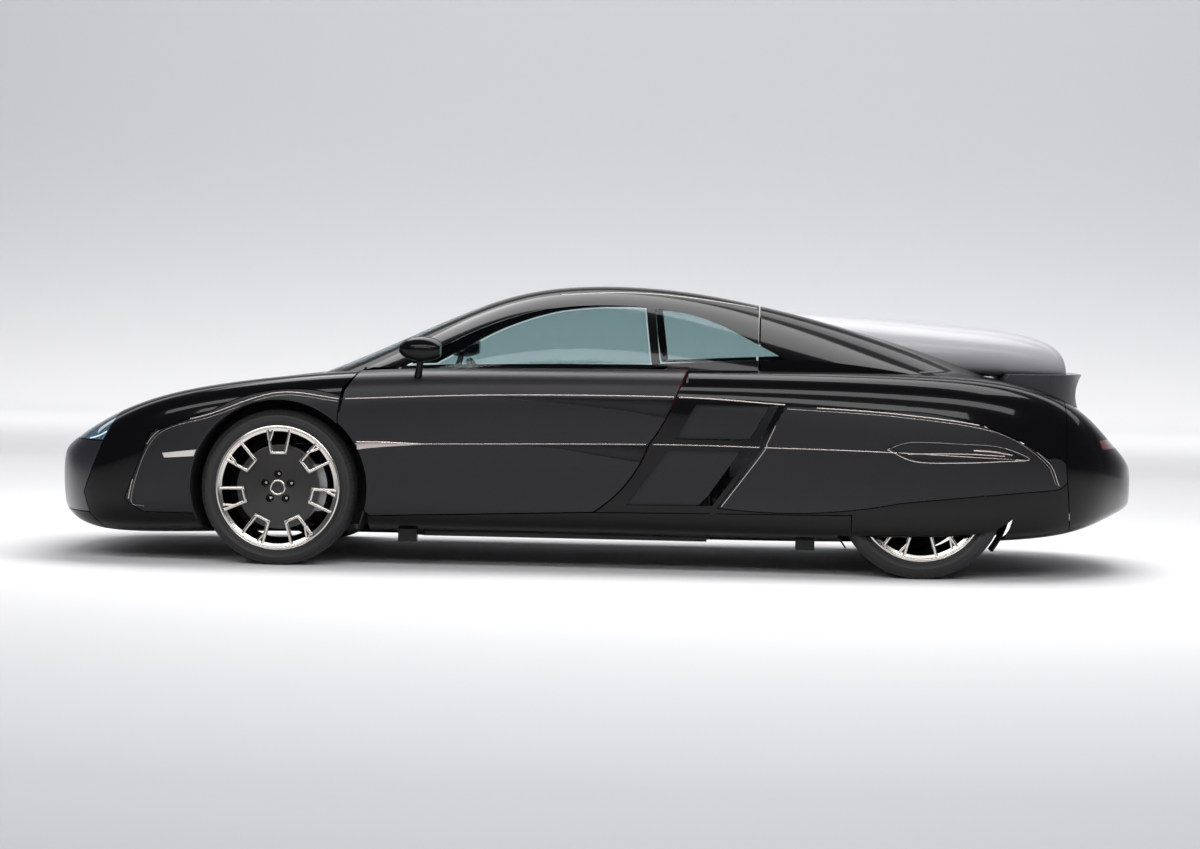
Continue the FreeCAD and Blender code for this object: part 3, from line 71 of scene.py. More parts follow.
cabin_shares = [
    (-0.585, 0.60, 0.480, 0.78, 0.480, 0.800, 0.570, 0.780, 0.590, 0.62, 0.610, 0.40, 0.620, 0.20, 0.622),
    (-0.500, 0.60, 0.480, 0.80, 0.480, 0.820, 0.600, 0.800, 0.640, 0.62, 0.665, 0.40, 0.675, 0.20, 0.680),
    (-0.340, 0.60, 0.480, 0.82, 0.480, 0.830, 0.640, 0.790, 0.720, 0.60, 0.810, 0.38, 0.818, 0.20, 0.822),
    (-0.170, 0.60, 0.480, 0.82, 0.480, 0.830, 0.670, 0.740, 0.855, 0.58, 0.965, 0.36, 0.972, 0.18, 0.975),
    (-0.020, 0.60, 0.480, 0.82, 0.480, 0.830, 0.685, 0.730, 0.890, 0.57, 1.005, 0.36, 1.005, 0.18, 1.005),
    (0.150, 0.60, 0.480, 0.83, 0.480, 0.835, 0.690, 0.730, 0.875, 0.56, 0.993, 0.36, 0.993, 0.18, 0.993),
    (0.320, 0.60, 0.480, 0.84, 0.480, 0.850, 0.685, 0.740, 0.830, 0.54, 0.930, 0.36, 0.930, 0.18, 0.930),
    (0.500, 0.60, 0.480, 0.86, 0.480, 0.870, 0.680, 0.750, 0.770, 0.54, 0.840, 0.36, 0.840, 0.18, 0.840),
    (0.680, 0.60, 0.480, 0.86, 0.480, 0.870, 0.650, 0.740, 0.690, 0.54, 0.730, 0.36, 0.730, 0.18, 0.730),
    (0.800, 0.60, 0.480, 0.80, 0.480, 0.810, 0.580, 0.700, 0.610, 0.50, 0.620, 0.36, 0.620, 0.18, 0.620),
]
dome_shares = [
    (0.300, 0.10, 0.700, 0.24, 0.700, 0.26, 0.760, 0.24, 0.850, 0.20, 0.910, 0.10, 0.915, 0.05, 0.915),
    (0.300, 0.20, 0.700, 0.36, 0.700, 0.40, 0.760, 0.38, 0.860, 0.30, 0.920, 0.18, 0.925, 0.09, 0.925),
    (0.470, 0.20, 0.700, 0.38, 0.700, 0.43, 0.760, 0.41, 0.850, 0.33, 0.905, 0.20, 0.910, 0.09, 0.910),
    (0.640, 0.20, 0.700, 0.38, 0.700, 0.43, 0.750, 0.41, 0.835, 0.33, 0.880, 0.20, 0.885, 0.09, 0.885),
    (0.790, 0.20, 0.700, 0.35, 0.700, 0.39, 0.740, 0.37, 0.820, 0.30, 0.860, 0.18, 0.865, 0.09, 0.865),
    (0.862, 0.20, 0.700, 0.30, 0.700, 0.33, 0.720, 0.31, 0.770, 0.26, 0.800, 0.15, 0.800, 0.08, 0.800),
    (0.862, 0.10, 0.700, 0.18, 0.700, 0.20, 0.705, 0.18, 0.715, 0.14, 0.720, 0.08, 0.722, 0.04, 0.722),
]


def dots(one, two):
    """The dot product of each pair of rows."""
    return np.einsum("ij,ij->i", one, two)


def unit(rows, least=1e-9):
    """Directions brought to a length of one."""
    return rows / np.maximum(np.linalg.norm(rows, axis=-1, keepdims=True), least)


def cubic_weights(count, samples):
    """Weights of a cubic's poles at evenly spaced places, for the line and for its slope."""
    knots = np.concatenate([np.zeros(3), np.linspace(0, 1, count - 2), np.ones(3)])
    places = np.clip(np.linspace(0, 1, samples), 0, 1 - 1e-9)
    line = np.array([(places >= low) & (places < high) for low, high in zip(knots, knots[1:])], float)
    for degree in (1, 2, 3):
        flatter = line
        line = np.zeros((len(flatter) - 1, samples))
        for pole in range(len(line)):
            rise = knots[pole + degree] - knots[pole]
            fall = knots[pole + degree + 1] - knots[pole + 1]
            if rise:
                line[pole] += (places - knots[pole]) / rise * flatter[pole]
            if fall:
                line[pole] += (knots[pole + degree + 1] - places) / fall * flatter[pole + 1]
    return line.T, np.gradient(line.T, places, axis=0)


class Form:
    """The right half of a smooth form, which gives the exact outward direction near any of its points."""

    def __init__(self, shares, along, around):
        self.along, self.around = along, around
        rows = []
        for station, *pairs in shares:
            line = [(pairs[n] * half_width, pairs[n + 1] * roof_height) for n in range(0, len(pairs), 2)]
            line = [(0, line[0][1])] + line + [(0, line[-1][1])]
            rows.append([(station * half_length, across, up) for across, up in line])
        poles = np.array(rows)
        lines, line_slopes = cubic_weights(len(poles), along)
        rings, ring_slopes = cubic_weights(poles.shape[1], around)
        self.points = np.einsum("ui,vj,ijk->uvk", lines, rings, poles)
        self.forward = np.einsum("ui,vj,ijk->uvk", line_slopes, rings, poles)
        self.upward = np.einsum("ui,vj,ijk->uvk", lines, ring_slopes, poles)
        self.facing = unit(np.cross(self.upward, self.forward), 1e-12)
        flat = self.points.reshape(-1, 3)
        self.tree = KDTree(len(flat))
        for n, point in enumerate(flat):
            self.tree.insert(point, n)
        self.tree.balance()

    def directions(self, places):
        """The outward direction at each place, and its distance from the form."""
        spots = places * [1, 0, 1] + np.abs(places) * [0, 1, 0]
        nearest = np.array([self.tree.find(spot)[1] for spot in spots])
        u, v = np.divmod(nearest, self.around)
        offset = spots - self.points[u, v]
        ahead = self.forward[u, v] / (self.along - 1)
        above = self.upward[u, v] / (self.around - 1)
        aa, ab, bb = dots(ahead, ahead), dots(ahead, above), dots(above, above)
        pa, pb = dots(offset, ahead), dots(offset, above)
        whole = np.maximum(aa * bb - ab * ab, 1e-18)
        at_u = np.clip(u + np.clip((pa * bb - pb * ab) / whole, -1, 1), 0, self.along - 1.001)
        at_v = np.clip(v + np.clip((pb * aa - pa * ab) / whole, -1, 1), 0, self.around - 1.001)
        low_u, low_v = at_u.astype(int), at_v.astype(int)
        part_u, part_v = (at_u - low_u)[:, None], (at_v - low_v)[:, None]
        facing = unit(self.facing[low_u, low_v] * (1 - part_u) * (1 - part_v)
                      + self.facing[low_u + 1, low_v] * part_u * (1 - part_v)
                      + self.facing[low_u, low_v + 1] * (1 - part_u) * part_v
                      + self.facing[low_u + 1, low_v + 1] * part_u * part_v)
        facing[:, 1] *= np.where(places[:, 1] < 0, -1, 1)
        return facing, np.abs(dots(offset, self.facing[u, v]))


body_form = Form(body_shares, 700, 260)
cabin_form = Form(cabin_shares, 420, 200)
dome_form = Form(dome_shares, 300, 160)
record = frame["record"]
body_of_node = {node: body for body, nodes in record["behaviour"]["bodies"].items() for node in nodes}
slot_of_node = {part["node"]: part["material_slot"] for part in record["subparts"]}
sides = ((1, "right"), (-1, "left"))
least_agreement = 0.86


def read(items, label, width=3):
    """One value of every vertex, corner or face of a mesh."""
    values = np.empty(len(items) * width, float if width > 1 else int)
    items.foreach_get(label, values)
    return values.reshape(-1, width) if width > 1 else values


def copied(node, name, materials):
    """The mesh of a new piece that copies a node and takes its place, with other materials."""
    piece = bpy.data.objects.new(name, frame["nodes"][node].data.copy())
    bpy.context.scene.collection.objects.link(piece)
    piece.data.materials.clear()
    for material in materials:
        piece.data.materials.append(material)
    piece.data.polygons.foreach_set("use_smooth", [True] * len(piece.data.polygons))
    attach(piece, body_of_node[node])
    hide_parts(node)
    return piece.data


def dressed(node, material, allowance=0.0009, upper=None, split=0.0, inside=False):
    """A skin on its node's shape, shaded as the form it was cut from; faces above a split may differ."""
    mesh = copied(node, f"{node}_skin", [material, upper] if upper else [material])
    if upper:
        raised = read(mesh.polygons, "center")[:, 2] > split
        mesh.polygons.foreach_set("material_index", raised.astype(int))
    places = read(mesh.vertices, "co")
    corners = read(mesh.loops, "vertex_index", 1)
    flats = np.repeat(read(mesh.polygons, "normal"), read(mesh.polygons, "loop_total", 1), axis=0)
    chosen = flats.copy()
    closest = np.full(len(corners), allowance)
    for form in (body_form, cabin_form, dome_form):
        facing, away = form.directions(places)
        facing, away = facing[corners], away[corners]
        agreement = dots(facing, flats)
        if inside:
            facing = facing * np.sign(agreement)[:, None]
            agreement = np.abs(agreement)
        better = (away < closest) & (agreement > least_agreement)
        chosen[better] = facing[better]
        closest[better] = away[better]
    mesh.normals_split_custom_set(chosen.tolist())


def finish(name, colour, roughness, metallic=0.0, coat=0.0, coat_roughness=0.03, gloss=0.5, more=()):
    """A material with its constant values on the shader itself."""
    material = bpy.data.materials.new(name)
    material.use_nodes = True
    shader = material.node_tree.nodes["Principled BSDF"]
    shader.inputs["Base Color"].default_value = (*colour, 1)
    shader.inputs["Roughness"].default_value = roughness
    shader.inputs["Metallic"].default_value = metallic
    shader.inputs["Coat Weight"].default_value = coat
    shader.inputs["Coat Roughness"].default_value = coat_roughness
    shader.inputs["Specular IOR Level"].default_value = gloss
    for label, value in more:
        shader.inputs[label].default_value = value
    return material


def effect(name, inputs, outputs):
    """An empty shader node group with plain inputs and outputs, and its own object coordinates."""
    group = bpy.data.node_groups.new(name, "ShaderNodeTree")
    for label, value in inputs:
        socket = group.interface.new_socket(label, in_out="INPUT", socket_type="NodeSocketFloat")
        socket.default_value = value
    for label in outputs:
        group.interface.new_socket(label, in_out="OUTPUT", socket_type="NodeSocketFloat")
    given = group.nodes.new("NodeGroupInput")
    taken = group.nodes.new("NodeGroupOutput")
    return group, given, taken, group.nodes.new("ShaderNodeTexCoord").outputs["Object"]


def sum_of(group, operation, *values):
    """One maths node of a group, fed by sockets or plain numbers."""
    node = group.nodes.new("ShaderNodeMath")
    node.operation = operation
    for socket, value in zip(node.inputs, values):
        if isinstance(value, (int, float)):
            socket.default_value = value
        else:
            group.links.new(value, socket)
    return node.outputs[0]


def noise(group, place, scale, detail):
    """Soft noise of a group at a scale that may be a socket."""
    node = group.nodes.new("ShaderNodeTexNoise")
    node.inputs["Detail"].default_value = detail
    group.links.new(place, node.inputs["Vector"])
    if isinstance(scale, (int, float)):
        node.inputs["Scale"].default_value = scale
    else:
        group.links.new(scale, node.inputs["Scale"])
    return node.outputs["Fac"]


def noises(name, *rows):
    """A group of soft noises; each row names one and gives its first scale and its detail."""
    group, given, taken, place = effect(name, [row[:2] for row in rows], [row[0] for row in rows])
    for label, scale, detail in rows:
        group.links.new(noise(group, place, given.outputs[label], detail), taken.inputs[label])
    return group


def bumped(material, height, distance, strength):
    """A height that tips the material's surface."""
    tree = material.node_tree
    bump = tree.nodes.new("ShaderNodeBump")
    bump.inputs["Distance"].default_value = distance
    bump.inputs["Strength"].default_value = strength
    tree.links.new(height, bump.inputs["Height"])
    tree.links.new(bump.outputs["Normal"], tree.nodes["Principled BSDF"].inputs["Normal"])


def varied(material, mask, socket, low, high):
    """A mask that moves a shader socket between two values or two colours."""
    tree = material.node_tree
    if isinstance(low, tuple):
        mix = tree.nodes.new("ShaderNodeMix")
        mix.data_type = "RGBA"
        mix.inputs["A"].default_value = (*low, 1)
        mix.inputs["B"].default_value = (*high, 1)
        tree.links.new(mask, mix.inputs["Factor"])
    else:
        mix = tree.nodes.new("ShaderNodeMapRange")
        mix.inputs["To Min"].default_value = low
        mix.inputs["To Max"].default_value = high
        tree.links.new(mask, mix.inputs["Value"])
    tree.links.new(mix.outputs["Result"], tree.nodes["Principled BSDF"].inputs[socket])


def worked(material, group, values, bump=None, rough=None, tint=None):
    """Puts a group to work on a material. Each use names an output: bump with its distance and strength,
    rough with its lowest and highest roughness, tint with its two colours."""
    node = material.node_tree.nodes.new("ShaderNodeGroup")
    node.node_tree = group
    for label, value in values.items():
        node.inputs[label].default_value = value
    if bump:
        bumped(material, node.outputs[bump[0]], *bump[1:])
    if rough:
        varied(material, node.outputs[rough[0]], "Roughness", *rough[1:])
    if tint:
        varied(material, node.outputs[tint[0]], "Base Color", *tint[1:])


lacquer = noises("lacquer_flow", ("Flow", 60.0, 1.0), ("Dust", 9.0, 6.0))
black_paint = finish("gloss_black_paint", (0.0025, 0.0025, 0.003), 0.2, coat=0.36, coat_roughness=0.05,
                     gloss=0.04)
worked(black_paint, lacquer, {"Flow": 45.0, "Dust": 7.0}, ("Flow", 0.00025, 0.15), ("Dust", 0.16, 0.28))
graphite = finish("satin_graphite", (0.035, 0.034, 0.042), 0.34, metallic=0.55, coat=0.5, coat_roughness=0.2)
worked(graphite, lacquer, {"Flow": 900.0, "Dust": 5.0}, ("Flow", 0.0002, 0.25), ("Dust", 0.28, 0.42))
centre_panel_low = 0.165 * roof_height
for node in ("bonnet", "fender_right", "fender_left", "sills", "rear_quarter_right", "rear_quarter_left",
             "rear_bumper", "roof", "rear_deck"):
    dressed(node, black_paint)
dressed("front_bumper", black_paint, upper=graphite, split=centre_panel_low)

# Woven side skins
# The arch panels, doors, intake blades and rear pods are bare carbon cloth under a satin lacquer. The twill
# is fine, so from a few steps away it reads as an even dark grey. The ducktail is plain satin.


def axes_of(group, place):
    """The three coordinates of a place."""
    node = group.nodes.new("ShaderNodeSeparateXYZ")
    group.links.new(place, node.inputs[0])
    return node.outputs


def ridges(group, value):
    """Round ridges, one to each whole step of a value."""
    return sum_of(group, "ABSOLUTE", sum_of(group, "SINE", sum_of(group, "MULTIPLY", value, math.pi)))


twill, given, taken, place = effect("twill_weave", [("Pitch", 0.004)], ["Height", "Thread", "Mottle"])
axes = axes_of(twill, place)
warp = sum_of(twill, "DIVIDE", axes["X"], given.outputs["Pitch"])
weft = sum_of(twill, "DIVIDE", sum_of(twill, "ADD", axes["Z"], axes["Y"]), given.outputs["Pitch"])
step = sum_of(twill, "ADD", sum_of(twill, "FLOOR", warp), sum_of(twill, "FLOOR", weft))
over = sum_of(twill, "LESS_THAN", sum_of(twill, "FRACT", sum_of(twill, "MULTIPLY", step, 0.25)), 0.5)
under = sum_of(twill, "SUBTRACT", 1.0, over)
raised = sum_of(twill, "ADD", sum_of(twill, "MULTIPLY", over, ridges(twill, warp)),
                sum_of(twill, "MULTIPLY", under, ridges(twill, weft)))
twill.links.new(raised, taken.inputs["Height"])
twill.links.new(over, taken.inputs["Thread"])
twill.links.new(noise(twill, place, 3.0, 5.0), taken.inputs["Mottle"])
woven = finish("satin_weave", (0.012, 0.012, 0.014), 0.4, metallic=0.3, coat=0.16, coat_roughness=0.3,
               gloss=0.14)
worked(woven, twill, {"Pitch": 0.0018}, ("Height", 0.0002, 0.35), ("Mottle", 0.32, 0.46),
       ("Thread", (0.014, 0.014, 0.017), (0.026, 0.025, 0.028)))
for node in ("arch_panels", "door_right", "door_left", "intake_blades", "rear_pods"):
    dressed(node, woven)
tail_satin = finish("satin_tail", (0.05, 0.048, 0.055), 0.3, metallic=0.5, coat=0.6, coat_roughness=0.12)
worked(tail_satin, lacquer, {"Flow": 900.0, "Dust": 4.0}, ("Flow", 0.0002, 0.2), ("Dust", 0.24, 0.36))
dressed("spoiler", tail_satin)

# Bright trim lines
# Thin anodised strips outline the arch panels and the rear pods and run along both flanks. Each is a
# shallow half-round strip on its own panel, so it ends at the shut lines and the doors carry their own.


def stretched(group, place, given, scales):
    """A place with each of its named axes scaled by an input of the group."""
    mixed = group.nodes.new("ShaderNodeCombineXYZ")
    axes = axes_of(group, place)
    for axis, label in scales.items():
        group.links.new(sum_of(group, "MULTIPLY", axes[axis], given.outputs[label]), mixed.inputs[axis])
    return mixed.outputs[0]


trim_metal = finish("rose_silver_trim", (0.46, 0.41, 0.39), 0.26, metallic=1.0)
brushed, given, taken, place = effect("brushed_metal", [("Fineness", 900.0), ("Long", 12.0)], ["Streak"])
streaks = stretched(brushed, place, given, {"X": "Long", "Y": "Fineness", "Z": "Fineness"})
brushed.links.new(noise(brushed, streaks, 1.0, 3.0), taken.inputs["Streak"])
worked(trim_metal, brushed, {"Fineness": 700.0, "Long": 9.0}, ("Streak", 0.0002, 0.3), ("Streak", 0.16, 0.34))
surfaces = {}
line_step = 0.010
strip_section_steps = 7
ray_start = 1.4
ray_reach = 0.9
least_outward = 0.15
most_jump = 0.02
fewest_places = 4
cabin_height = 0.86


def surface_of(node):
    """A node's faces, ready to be hit by rays."""
    if node not in surfaces:
        mesh = frame["nodes"][node].data
        surfaces[node] = BVHTree.FromPolygons([v.co.copy() for v in mesh.vertices],
                                              [tuple(p.vertices) for p in mesh.polygons])
    return surfaces[node]


def smooth_line(points):
    """A rounded line through points in millimetres, as metres at even steps."""
    points = np.array(points, float) / 1000
    padded = np.vstack([2 * points[0] - points[1], points, 2 * points[-1] - points[-2]])
    line = []
    for n in range(1, len(padded) - 2):
        before, start, end, after = padded[n - 1:n + 3]
        count = max(2, int(np.linalg.norm(end - start) / line_step))
        for t in np.arange(count) / count:
            bend = (2 * before - 5 * start + 4 * end - after) * t * t
            line.append(0.5 * (2 * start + (end - before) * t + bend
                               + (3 * start - before - 3 * end + after) * t ** 3))
    line.append(points[-1])
    return line


def strip(places, facings, width, height, sunk=0.0006):
    """Points and faces of a half-round strip on a surface, closed at both ends; its width may taper."""
    points, faces = [], []
    count = len(places)
    first, last = width if isinstance(width, tuple) else (width, width)
    for n in range(count):
        width = first + (last - first) * n / (count - 1)
        ahead = (places[min(n + 1, count - 1)] - places[max(n - 1, 0)]).normalized()
        out = (facings[n] - ahead * facings[n].dot(ahead)).normalized()
        across = ahead.cross(out)
        for m in range(strip_section_steps):
            turn = math.pi * m / (strip_section_steps - 1)
            points.append(places[n] + across * (width / 2 * math.cos(turn)) + out * (height * math.sin(turn)))
        points.append(places[n] - across * (width / 2) - out * sunk)
        points.append(places[n] + across * (width / 2) - out * sunk)
    ring = strip_section_steps + 2
    for n in range(count - 1):
        for m in range(ring):
            following = (m + 1) % ring
            faces.append((n * ring + m, n * ring + following, (n + 1) * ring + following, (n + 1) * ring + m))
    faces.append(tuple(reversed(range(ring))))
    faces.append(tuple(range((count - 1) * ring, count * ring)))
    return points, faces


def joined(parts):
    """The points and faces of several parts as one."""
    points, faces = [], []
    for new_points, new_faces in parts:
        start = len(points)
        points += new_points
        faces += [tuple(start + corner for corner in face) for face in new_faces]
    return points, faces


def runs_on(node, line, side):
    """The parts of a side-view line that lie on a node, as places with the surface's outward directions."""
    surface = surface_of(node)
    runs, places = [], []
    for along, up in line:
        start = Vector((along, side * ray_start, up))
        spot, facing = surface.ray_cast(start, Vector((0, -side, 0)), ray_reach)[:2]
        outside = spot is not None and facing.y * side > least_outward
        if outside and (not places or abs(spot.y - places[-1].y) < most_jump):
            places.append(spot)
        else:
            runs.append(places)
            places = []
    runs.append(places)
    found = []
    for places in runs:
        if len(places) >= fewest_places:
            form = cabin_form if places[0].z > cabin_height else body_form
            facings = form.directions(np.array([tuple(place) for place in places]))[0]
            found.append((places, [Vector(facing) for facing in facings]))
    return found


def solid_piece(name, points, faces, material, body, slot, sharp=0.7):
    """A smooth mesh object that rides on a body; edges over the sharp angle stay crisp."""
    mesh = bpy.data.meshes.new(name)
    mesh.from_pydata(points, [], faces)
    mesh.polygons.foreach_set("use_smooth", [True] * len(mesh.polygons))
    mesh.materials.append(material)
    mesh.set_sharp_from_angle(angle=sharp)
    piece = bpy.data.objects.new(name, mesh)
    bpy.context.scene.collection.objects.link(piece)
    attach(piece, body)
    return piece


def turned_out(piece):
    """Turns all faces of a piece outward."""
    shell = bmesh.new()
    shell.from_mesh(piece.data)
    bmesh.ops.recalc_face_normals(shell, faces=shell.faces)
    shell.to_mesh(piece.data)
    shell.free()


def lines_on(name, lines, material, slot):
    """Strips along side-view lines; each line names its nodes, its points, its width and its height."""
    gathered = {}
    for side, hand in sides:
        for nodes, points, width, height in lines:
            for node in [each.format(hand) for each in nodes]:
                for places, facings in runs_on(node, smooth_line(points), side):
                    gathered.setdefault(body_of_node[node], []).append(strip(places, facings, width, height))
    for body, strips in gathered.items():
        turned_out(solid_piece(f"{name}_{body}", *joined(strips), material, body, slot))


shoulder_line = [(-1036, 700), (-393, 728), (334, 734), (783, 712)]
flank_line = [(-991, 512), (-704, 518), (214, 536), (692, 534), (1198, 526), (1771, 503)]
arch_outline = [(-1052, 698), (-1319, 719), (-1589, 628), (-1836, 532), (-1945, 262), (-1884, 222)]
arch_inner_line = [(-1064, 688), (-1318, 707), (-1583, 617), (-1827, 524), (-1933, 266), (-1880, 233)]
pod_front_line = [(783, 707), (712, 549), (701, 519), (530, 285)]
pod_top_line = [(790, 707), (1256, 682), (1656, 626), (1862, 505), (1921, 398)]
pod_inner_line = [(792, 695), (1254, 671), (1649, 616), (1851, 500), (1908, 402)]
slot_outline = [(1206, 537), (1279, 565), (1360, 570), (1504, 566), (1668, 556), (1792, 508), (1668, 496),
                (1506, 488), (1322, 490), (1206, 537)]
slot_bar = [(1290, 520), (1420, 524), (1560, 524), (1690, 518)]
slot_lamp_bar = [(1560, 540), (1640, 536), (1720, 524)]
front_wedge = [(-985, 506), (-900, 512), (-704, 518)]
lines_on("flank_trim", [
    (["door_{}", "rear_quarter_{}", "fender_{}"], shoulder_line, 0.0048, 0.0012),
    (["door_{}", "rear_quarter_{}", "rear_pods"], flank_line, 0.0042, 0.0011),
    (["arch_panels"], arch_outline, 0.0046, 0.0012),
    (["arch_panels"], arch_inner_line, 0.0020, 0.0008),
    (["rear_pods", "intake_blades"], pod_front_line, 0.0048, 0.0012),
    (["rear_pods"], pod_top_line, 0.0044, 0.0012),
    (["rear_pods"], pod_inner_line, 0.0020, 0.0008),
    (["rear_pods"], slot_outline, 0.0036, 0.0012),
    (["rear_pods"], slot_bar, 0.0060, 0.0026),
    (["rear_pods"], slot_lamp_bar, 0.0090, 0.0034),
    (["door_{}", "fender_{}"], front_wedge, (0.0340, 0.0050), 0.0016),
], trim_metal, "nickel")
roof_rail = [(-167, 1150), (85, 1163), (337, 1152), (653, 1109), (926, 1043), (1200, 965)]
lines_on("roof_trim", [(["roof"], roof_rail, 0.0042, 0.0012)], trim_metal, "nickel")

# Glazing
# The windscreen, door windows and quarter windows are green tinted laminate. The panes are bonded to their
# seats and have a faint haze of wiping marks.
haze = noises("glass_haze", ("Haze", 6.0, 5.0))
pane_allowance = 0.009
pane = finish("tinted_glass", (0.46, 0.57, 0.58), 0.02, coat=0.3, coat_roughness=0.08,
              more=[("Transmission Weight", 1.0), ("IOR", 1.04)])
worked(pane, haze, {"Haze": 5.0}, rough=("Haze", 0.0, 0.045))
for node in ("windscreen", "door_glass_right", "door_glass_left", "quarter_glass"):
    dressed(node, pane, allowance=pane_allowance, inside=True)

# Rear dome
# One pale moulded blister covers the engine bay behind the roof. It's frosted, so it takes the light of the
# studio and shows little of what lies under it.
frosted = finish("frosted_dome", (0.40, 0.40, 0.42), 0.4, coat=0.3, coat_roughness=0.15,
                 more=[("Transmission Weight", 0.06)])
worked(frosted, haze, {"Haze": 3.0}, rough=("Haze", 0.36, 0.5))
dressed("deck_dome", frosted, allowance=pane_allowance, inside=True)

# Lamps
# The headlamps are smoked lenses with pale blue light guides along their lower and rear edges. The side
# lamps are nickel housings, and one dark red lens on each side crosses the tail. Both lenses carry painted
# highlights: their flute crests are painted lighter than the troughs, pale blue on the headlamps and a
# brighter red on the tail.
fluted, given, taken, place = effect("fluted_lens", [("Pitch", 0.012)], ["Flute"])
flutes = ridges(fluted, sum_of(fluted, "DIVIDE", axes_of(fluted, place)["Y"], given.outputs["Pitch"]))
fluted.links.new(flutes, taken.inputs["Flute"])
lens = finish("smoked_lens", (0.03, 0.06, 0.09), 0.06, coat=1.0, coat_roughness=0.02)
# Painted highlight: the flute crests are painted pale blue and the troughs near black.
worked(lens, fluted, {"Pitch": 0.014}, tint=("Flute", (0.02, 0.035, 0.05), (0.13, 0.22, 0.30)))
dressed("headlamps", lens)
guide = finish("light_guide", (0.55, 0.74, 0.88), 0.12, coat=0.8,
               more=[("Emission Color", (0.45, 0.68, 0.9, 1)), ("Emission Strength", 0.8)])
worked(guide, haze, {"Haze": 60.0}, rough=("Haze", 0.08, 0.2))
lower_guide = [(-2240, 455), (-2180, 462), (-2120, 478), (-2060, 505)]
rear_guide = [(-2130, 508), (-2085, 520), (-2040, 545), (-2010, 570)]
lines_on("lamp_guides", [
    (["headlamps"], lower_guide, 0.009, 0.0016),
    (["headlamps"], rear_guide, 0.006, 0.0014),
], guide, "lamp_glass")
tail_lens = finish("tail_lens", (0.10, 0.003, 0.005), 0.1, coat=1.0)
# Painted highlight: the flute crests are painted a brighter red than the troughs.
worked(tail_lens, fluted, {"Pitch": 0.010}, ("Flute", 0.001, 0.5),
       tint=("Flute", (0.05, 0.002, 0.003), (0.20, 0.006, 0.009)))
dressed("tail_lamps", tail_lens)
nickel = finish("brushed_nickel", (0.78, 0.74, 0.68), 0.34, metallic=0.8)
worked(nickel, brushed, {"Fineness": 500.0, "Long": 14.0}, ("Streak", 0.0002, 0.35), ("Streak", 0.28, 0.44))
dressed("side_lamps", nickel)

# Door mirrors
# Gloss black pods on slender stalks. They have the paint of the shell on all sides, the rear face too.
for hand, name in sides:
    dressed(f"mirror_{name}", black_paint)

# Wheels
# Forged alloy: a dark satin disc at the hub, seven bright U-shaped loops out to the rim and a polished lip.
# Five bright bolts sit in recesses round a plain dark centre cap in a bright ring.
wheel_dark = finish("satin_wheel", (0.045, 0.043, 0.042), 0.34, metallic=0.85, coat=0.2, coat_roughness=0.2)
worked(wheel_dark, lacquer, {"Flow": 1200.0, "Dust": 8.0}, ("Flow", 0.0001, 0.3), ("Dust", 0.28, 0.4))
wheel_bright = finish("polished_wheel", (0.66, 0.62, 0.58), 0.14, metallic=1.0)
worked(wheel_bright, lacquer, {"Flow": 160.0, "Dust": 14.0}, ("Flow", 0.0002, 0.15), ("Dust", 0.10, 0.2))
barrel_dark = finish("dark_barrel", (0.13, 0.125, 0.12), 0.22, metallic=1.0)
worked(barrel_dark, lacquer, {"Flow": 120.0, "Dust": 10.0}, rough=("Dust", 0.16, 0.3))
front_axle = (-1.315, 0.812, 0.3235)
front_size = {"width": 0.235, "rim": 0.2588, "radius": 0.3235}
rear_axle = (1.355, 0.758, 0.3455)
rear_size = {"width": 0.305, "rim": 0.2715, "radius": 0.3455}
lip_in = 0.012
face_in = 0.016
rib_start = 0.138
disc_reach = 0.172
hub_reach = 0.09
lip_reach = 0.225
slack = 0.002
disc_depth = 0.031
rib_face_depth = 0.0175
rib_wall_depth = 0.045
lip_depth = 0.0195
most_sideways = 0.12
path_step = 0.006
path_corner = 0.012
path_corner_steps = 5
loop_count = 7
loop_foot = 0.028
loop_spread = 0.046
loop_lift = 0.006
crown_width = 0.0115
crown_height = 0.0026
crown_sunk = 0.0012
bolt_count = 5
bolt_circle = 0.056
bolt_head = [(0.0002, 0.069), (0.006, 0.069), (0.008, 0.0675), (0.0105, 0.066), (0.0125, 0.0605),
             (0.0002, 0.0605)]
corners_of_car = []
for end, axle, size in (("front", front_axle, front_size), ("rear", rear_axle, rear_size)):
    for hand, name in sides:
        middle = np.array(axle) * [1, hand, 1]
        corners_of_car.append((end, name, hand, middle, size["width"] / 2, size["rim"], size["radius"]))


def spun(node, name, centre, materials, choose):
    """A copy of a turned node, shaded as round about its axle, with a material chosen for each face."""
    mesh = copied(node, name, materials)
    places = read(mesh.vertices, "co")
    corners = read(mesh.loops, "vertex_index", 1)
    flats = read(mesh.polygons, "normal")
    middles = read(mesh.polygons, "center")
    spokes = (middles - centre) * [1, 0, 1]
    reach = np.linalg.norm(spokes, axis=1)
    spokes = unit(spokes)
    outward = dots(flats, spokes)
    sideways = np.linalg.norm(flats - outward[:, None] * spokes - flats * [0, 1, 0], axis=1)
    height = (middles[:, 1] - centre[1]) * np.sign(centre[1])
    facing_out = flats[:, 1] * np.sign(centre[1])
    mesh.polygons.foreach_set("material_index", choose(reach, height, facing_out, sideways).astype(int))
    face_of = np.repeat(np.arange(len(flats)), read(mesh.polygons, "loop_total", 1))
    arms = unit((places[corners] - centre) * [1, 0, 1])
    rounded = unit(arms * outward[face_of][:, None] + flats[face_of] * [0, 1, 0])
    mixed = np.where((sideways[face_of] < most_sideways)[:, None], rounded, flats[face_of])
    mesh.normals_split_custom_set(mixed.tolist())


def about(centre, turn, radius, out):
    """A point about a wheel's axle, at a turn from the top."""
    return centre[0] + radius * math.sin(turn), centre[1] + out, centre[2] + radius * math.cos(turn)


